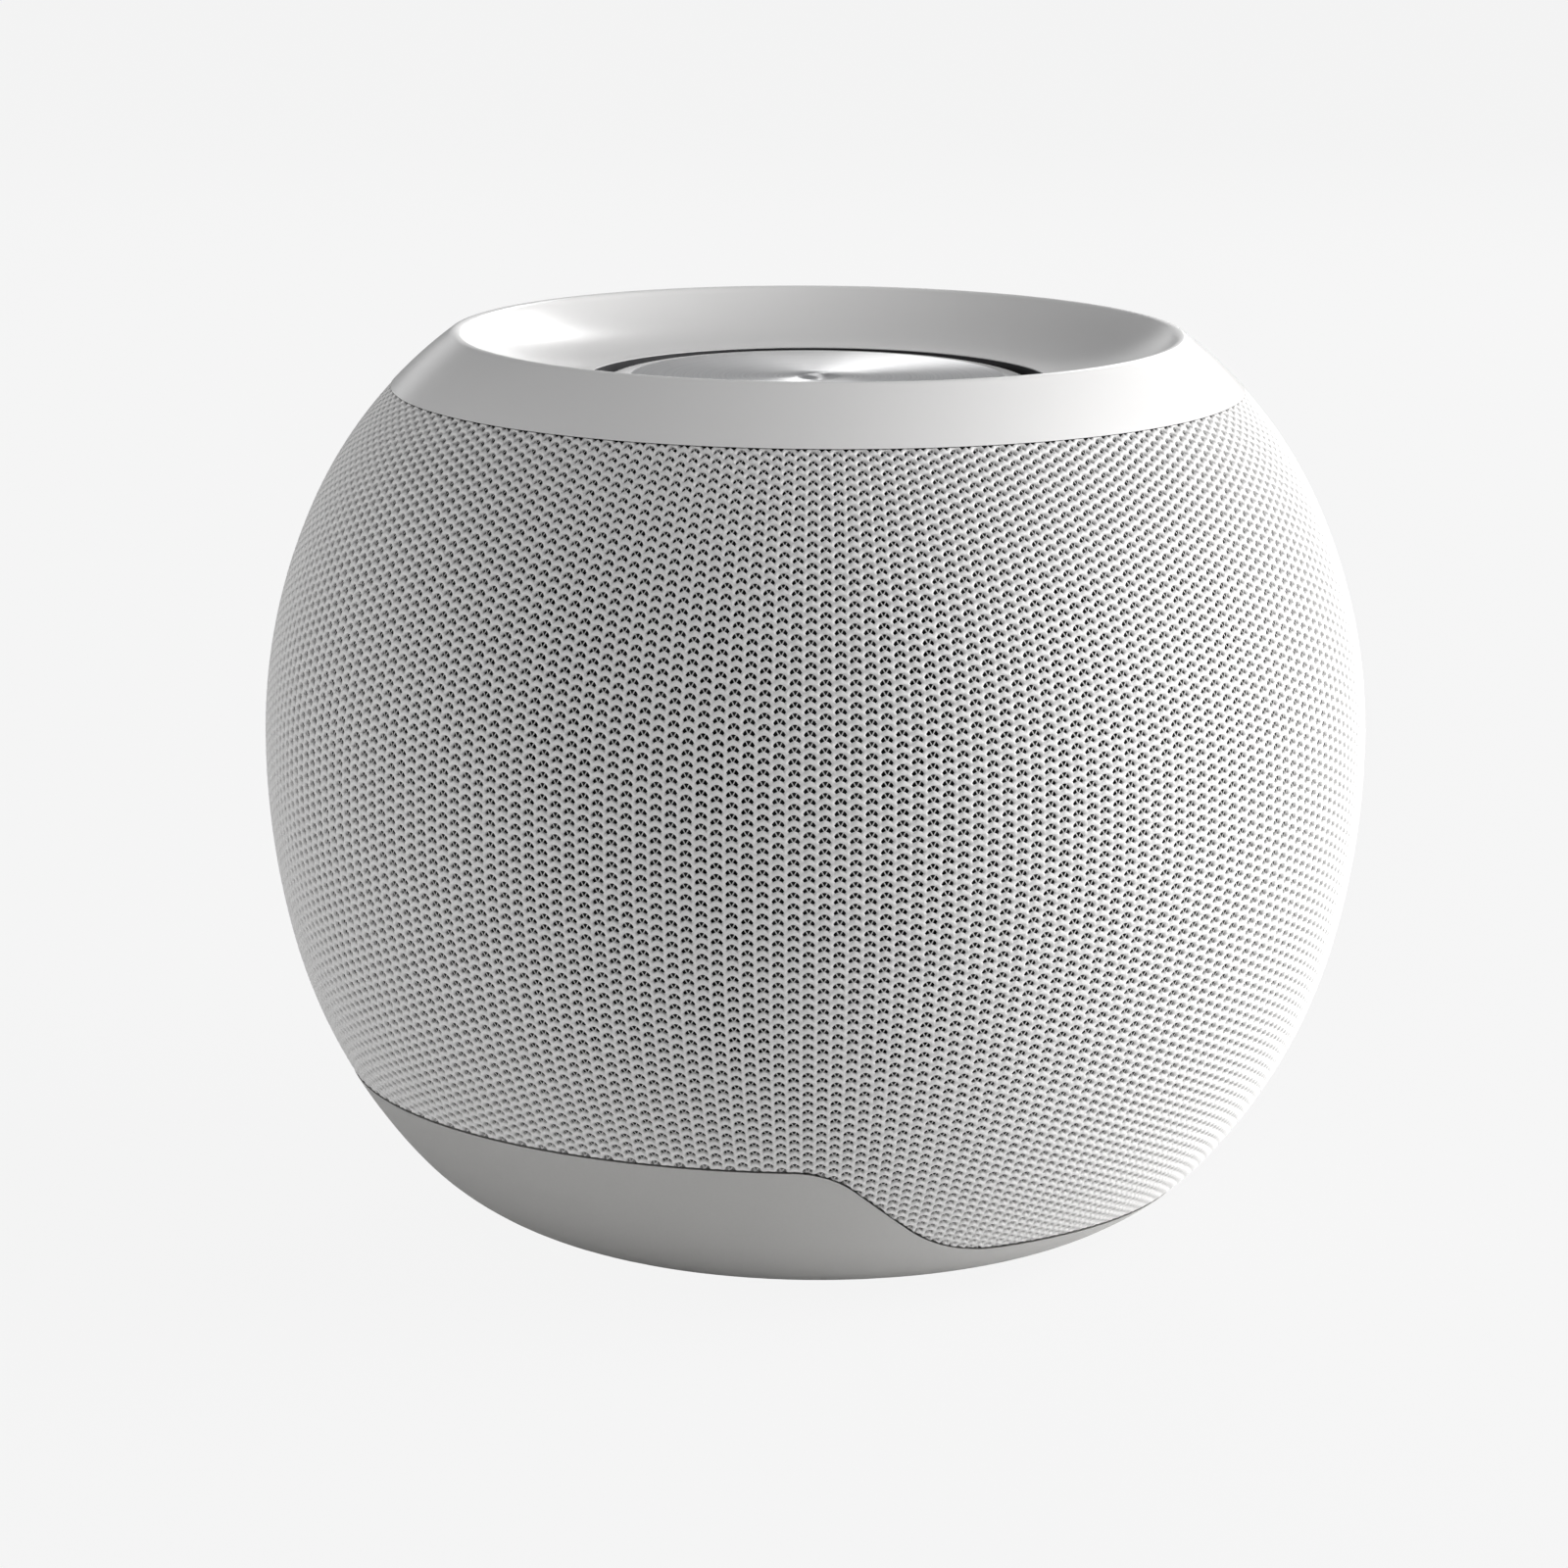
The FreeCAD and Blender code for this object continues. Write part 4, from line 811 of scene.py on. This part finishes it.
# %% Sizes of the bezel
RIDGE_ROUND, BEZEL_WALL, DISH_DEPTH, COLLAR = 1.0 * MM, 1.6 * MM, 6.3 * MM, 3.0 * MM
SKIRT_INSET, KNOB_GAP = 3.9 * MM, 0.7 * MM
RIDGE_ARC, RIDGE_DROP = 1.2 * RIDGE_ROUND, 0.75 * RIDGE_ROUND
knob_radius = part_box("knob_cap")[1].x
knob_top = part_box("knob_cap")[1].z
ridge_z = equator_z + RIDGE_HEIGHT
ridge_radius = crown[0] + crown_arc * math.cos(RIDGE_ANGLE)
dish_radius = knob_radius + KNOB_GAP
dish_z = ridge_z - DISH_DEPTH

edge_angle = RIDGE_ANGLE - RIDGE_ROUND / crown_arc
outer_edge = np.array([crown[0] + crown_arc * math.cos(edge_angle),
                       crown[1] + crown_arc * math.sin(edge_angle)])
dish_edge = np.array([ridge_radius - RIDGE_ROUND, ridge_z - RIDGE_DROP])
run, rise = dish_edge[0] - dish_radius, dish_edge[1] - dish_z
dish_arc = (run ** 2 + rise ** 2) / (2 * rise)
dish_end = math.atan2(dish_edge[1] - dish_z - dish_arc, run)
chord = outer_edge - dish_edge
middle = (outer_edge + dish_edge) / 2
across = math.sqrt(RIDGE_ARC ** 2 - float(chord @ chord) / 4)
round_centre = middle + across * np.array([chord[1], -chord[0]]) / np.linalg.norm(chord)
round_start = math.atan2(*(outer_edge - round_centre)[::-1])
round_end = math.atan2(*(dish_edge - round_centre)[::-1])
skirt_outer = crown[0] + math.sqrt((crown_arc - SKIRT_INSET) ** 2 - (seam_z - crown[1]) ** 2)
skirt_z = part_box("bezel")[0].z
print("ridge radius", round(ridge_radius / MM, 1), "mm, hole radius", round(dish_radius / MM, 1),
      "mm")

# %% Bezel
section = arc(crown, crown_arc, seam_angle, edge_angle, 14)
section += arc(round_centre, RIDGE_ARC, round_start, round_end, 10)[1:-1]
section += arc((dish_radius, dish_z + dish_arc), dish_arc, dish_end, -math.pi / 2, 36)
section += [(dish_radius, dish_z - COLLAR), (dish_radius + BEZEL_WALL, dish_z - COLLAR),
            (dish_radius + BEZEL_WALL, dish_z - 1.5 * BEZEL_WALL),
            (ridge_radius - 0.7 * BEZEL_WALL, ridge_z - 2.6 * BEZEL_WALL),
            (skirt_outer - BEZEL_WALL, seam_z + BEZEL_WALL),
            (skirt_outer - BEZEL_WALL, skirt_z), (skirt_outer, skirt_z), (skirt_outer, seam_z)]
bezel = turned("gloss_bezel", section)
dress(bezel, FINISHES["white_gloss"])
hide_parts("bezel")
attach(bezel, "cabinet")

# %% Black liner of the hole
LINER_WALL, LINER_DROP = 0.12 * MM, 0.1 * MM
liner_top = dish_z - LINER_DROP
# A thin black ring on the wall of the hole, so that the gap round the knob is a dark line.
liner = turned("black_hole_liner", [(dish_radius, liner_top), (dish_radius, dish_z - COLLAR),
                                (dish_radius - LINER_WALL, dish_z - COLLAR),
                                (dish_radius - LINER_WALL, liner_top)])
dress(liner, FINISHES["black_plastic"])
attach(liner, "cabinet")

# %% [markdown]
# ## The knob
# The cap is spun from sheet aluminium: a flat face with a small dimple where the tailstock
# pressed, a rounded shoulder polished after spinning, and a short skirt. The face keeps the
# rings of the tool, so face and shoulder get two finishes.

# %% Sizes of the knob
KNOB_FLAT, KNOB_HEIGHT, KNOB_WALL, KNOB_LIP = 23.7 * MM, 3.0 * MM, 1.2 * MM, 1.5 * MM
SHOULDER, DIMPLE, DIMPLE_DEPTH = 9.0 * MM, 3.2 * MM, 0.5 * MM
side_z = knob_top - KNOB_HEIGHT + KNOB_LIP
chord = np.array([knob_radius - KNOB_FLAT, side_z - knob_top])
middle = np.array([(knob_radius + KNOB_FLAT) / 2, (side_z + knob_top) / 2])
across = math.sqrt(SHOULDER ** 2 - float(chord @ chord) / 4)
shoulder_centre = middle + across * np.array([chord[1], -chord[0]]) / np.linalg.norm(chord)
start = math.atan2(knob_top - shoulder_centre[1], KNOB_FLAT - shoulder_centre[0])
end = math.atan2(side_z - shoulder_centre[1], knob_radius - shoulder_centre[0])
dimple_arc = (DIMPLE ** 2 + DIMPLE_DEPTH ** 2) / (2 * DIMPLE_DEPTH)
dimple_end = math.atan2(DIMPLE_DEPTH - dimple_arc, DIMPLE)
dimple_centre = (0, knob_top - DIMPLE_DEPTH + dimple_arc)
print("knob radius", round(knob_radius / MM, 1), "mm, dimple arc", round(dimple_arc / MM, 2), "mm")

# %% Knob cap
section = arc(dimple_centre, dimple_arc, -math.pi / 2, dimple_end, 10)
section += [(DIMPLE + (KNOB_FLAT - DIMPLE) * i / 6, knob_top) for i in range(1, 6)]
section += arc(shoulder_centre, SHOULDER, start, end, 12)
bottom_z = knob_top - KNOB_HEIGHT
section += [(knob_radius, bottom_z), (knob_radius - KNOB_WALL, bottom_z),
            (knob_radius - KNOB_WALL, bottom_z + KNOB_LIP / 2),
            (KNOB_FLAT, knob_top - KNOB_WALL), (0, knob_top - KNOB_WALL)]
cap = turned("spun_knob_cap", section)
polished = finish("polished_aluminium", "#D5D5D6", 0.12, 1.0, grain=0.5, depth=0.001,
                  spread=0.01)
dress(cap, FINISHES["spun_aluminium"])
cap.data.materials.append(polished)
for face in cap.data.polygons:
    reach = math.hypot(face.center.x, face.center.y)
    face.material_index = 1 if reach > KNOB_FLAT and face.normal.z > -0.1 else 0
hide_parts("knob_cap")
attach(cap, "knob")
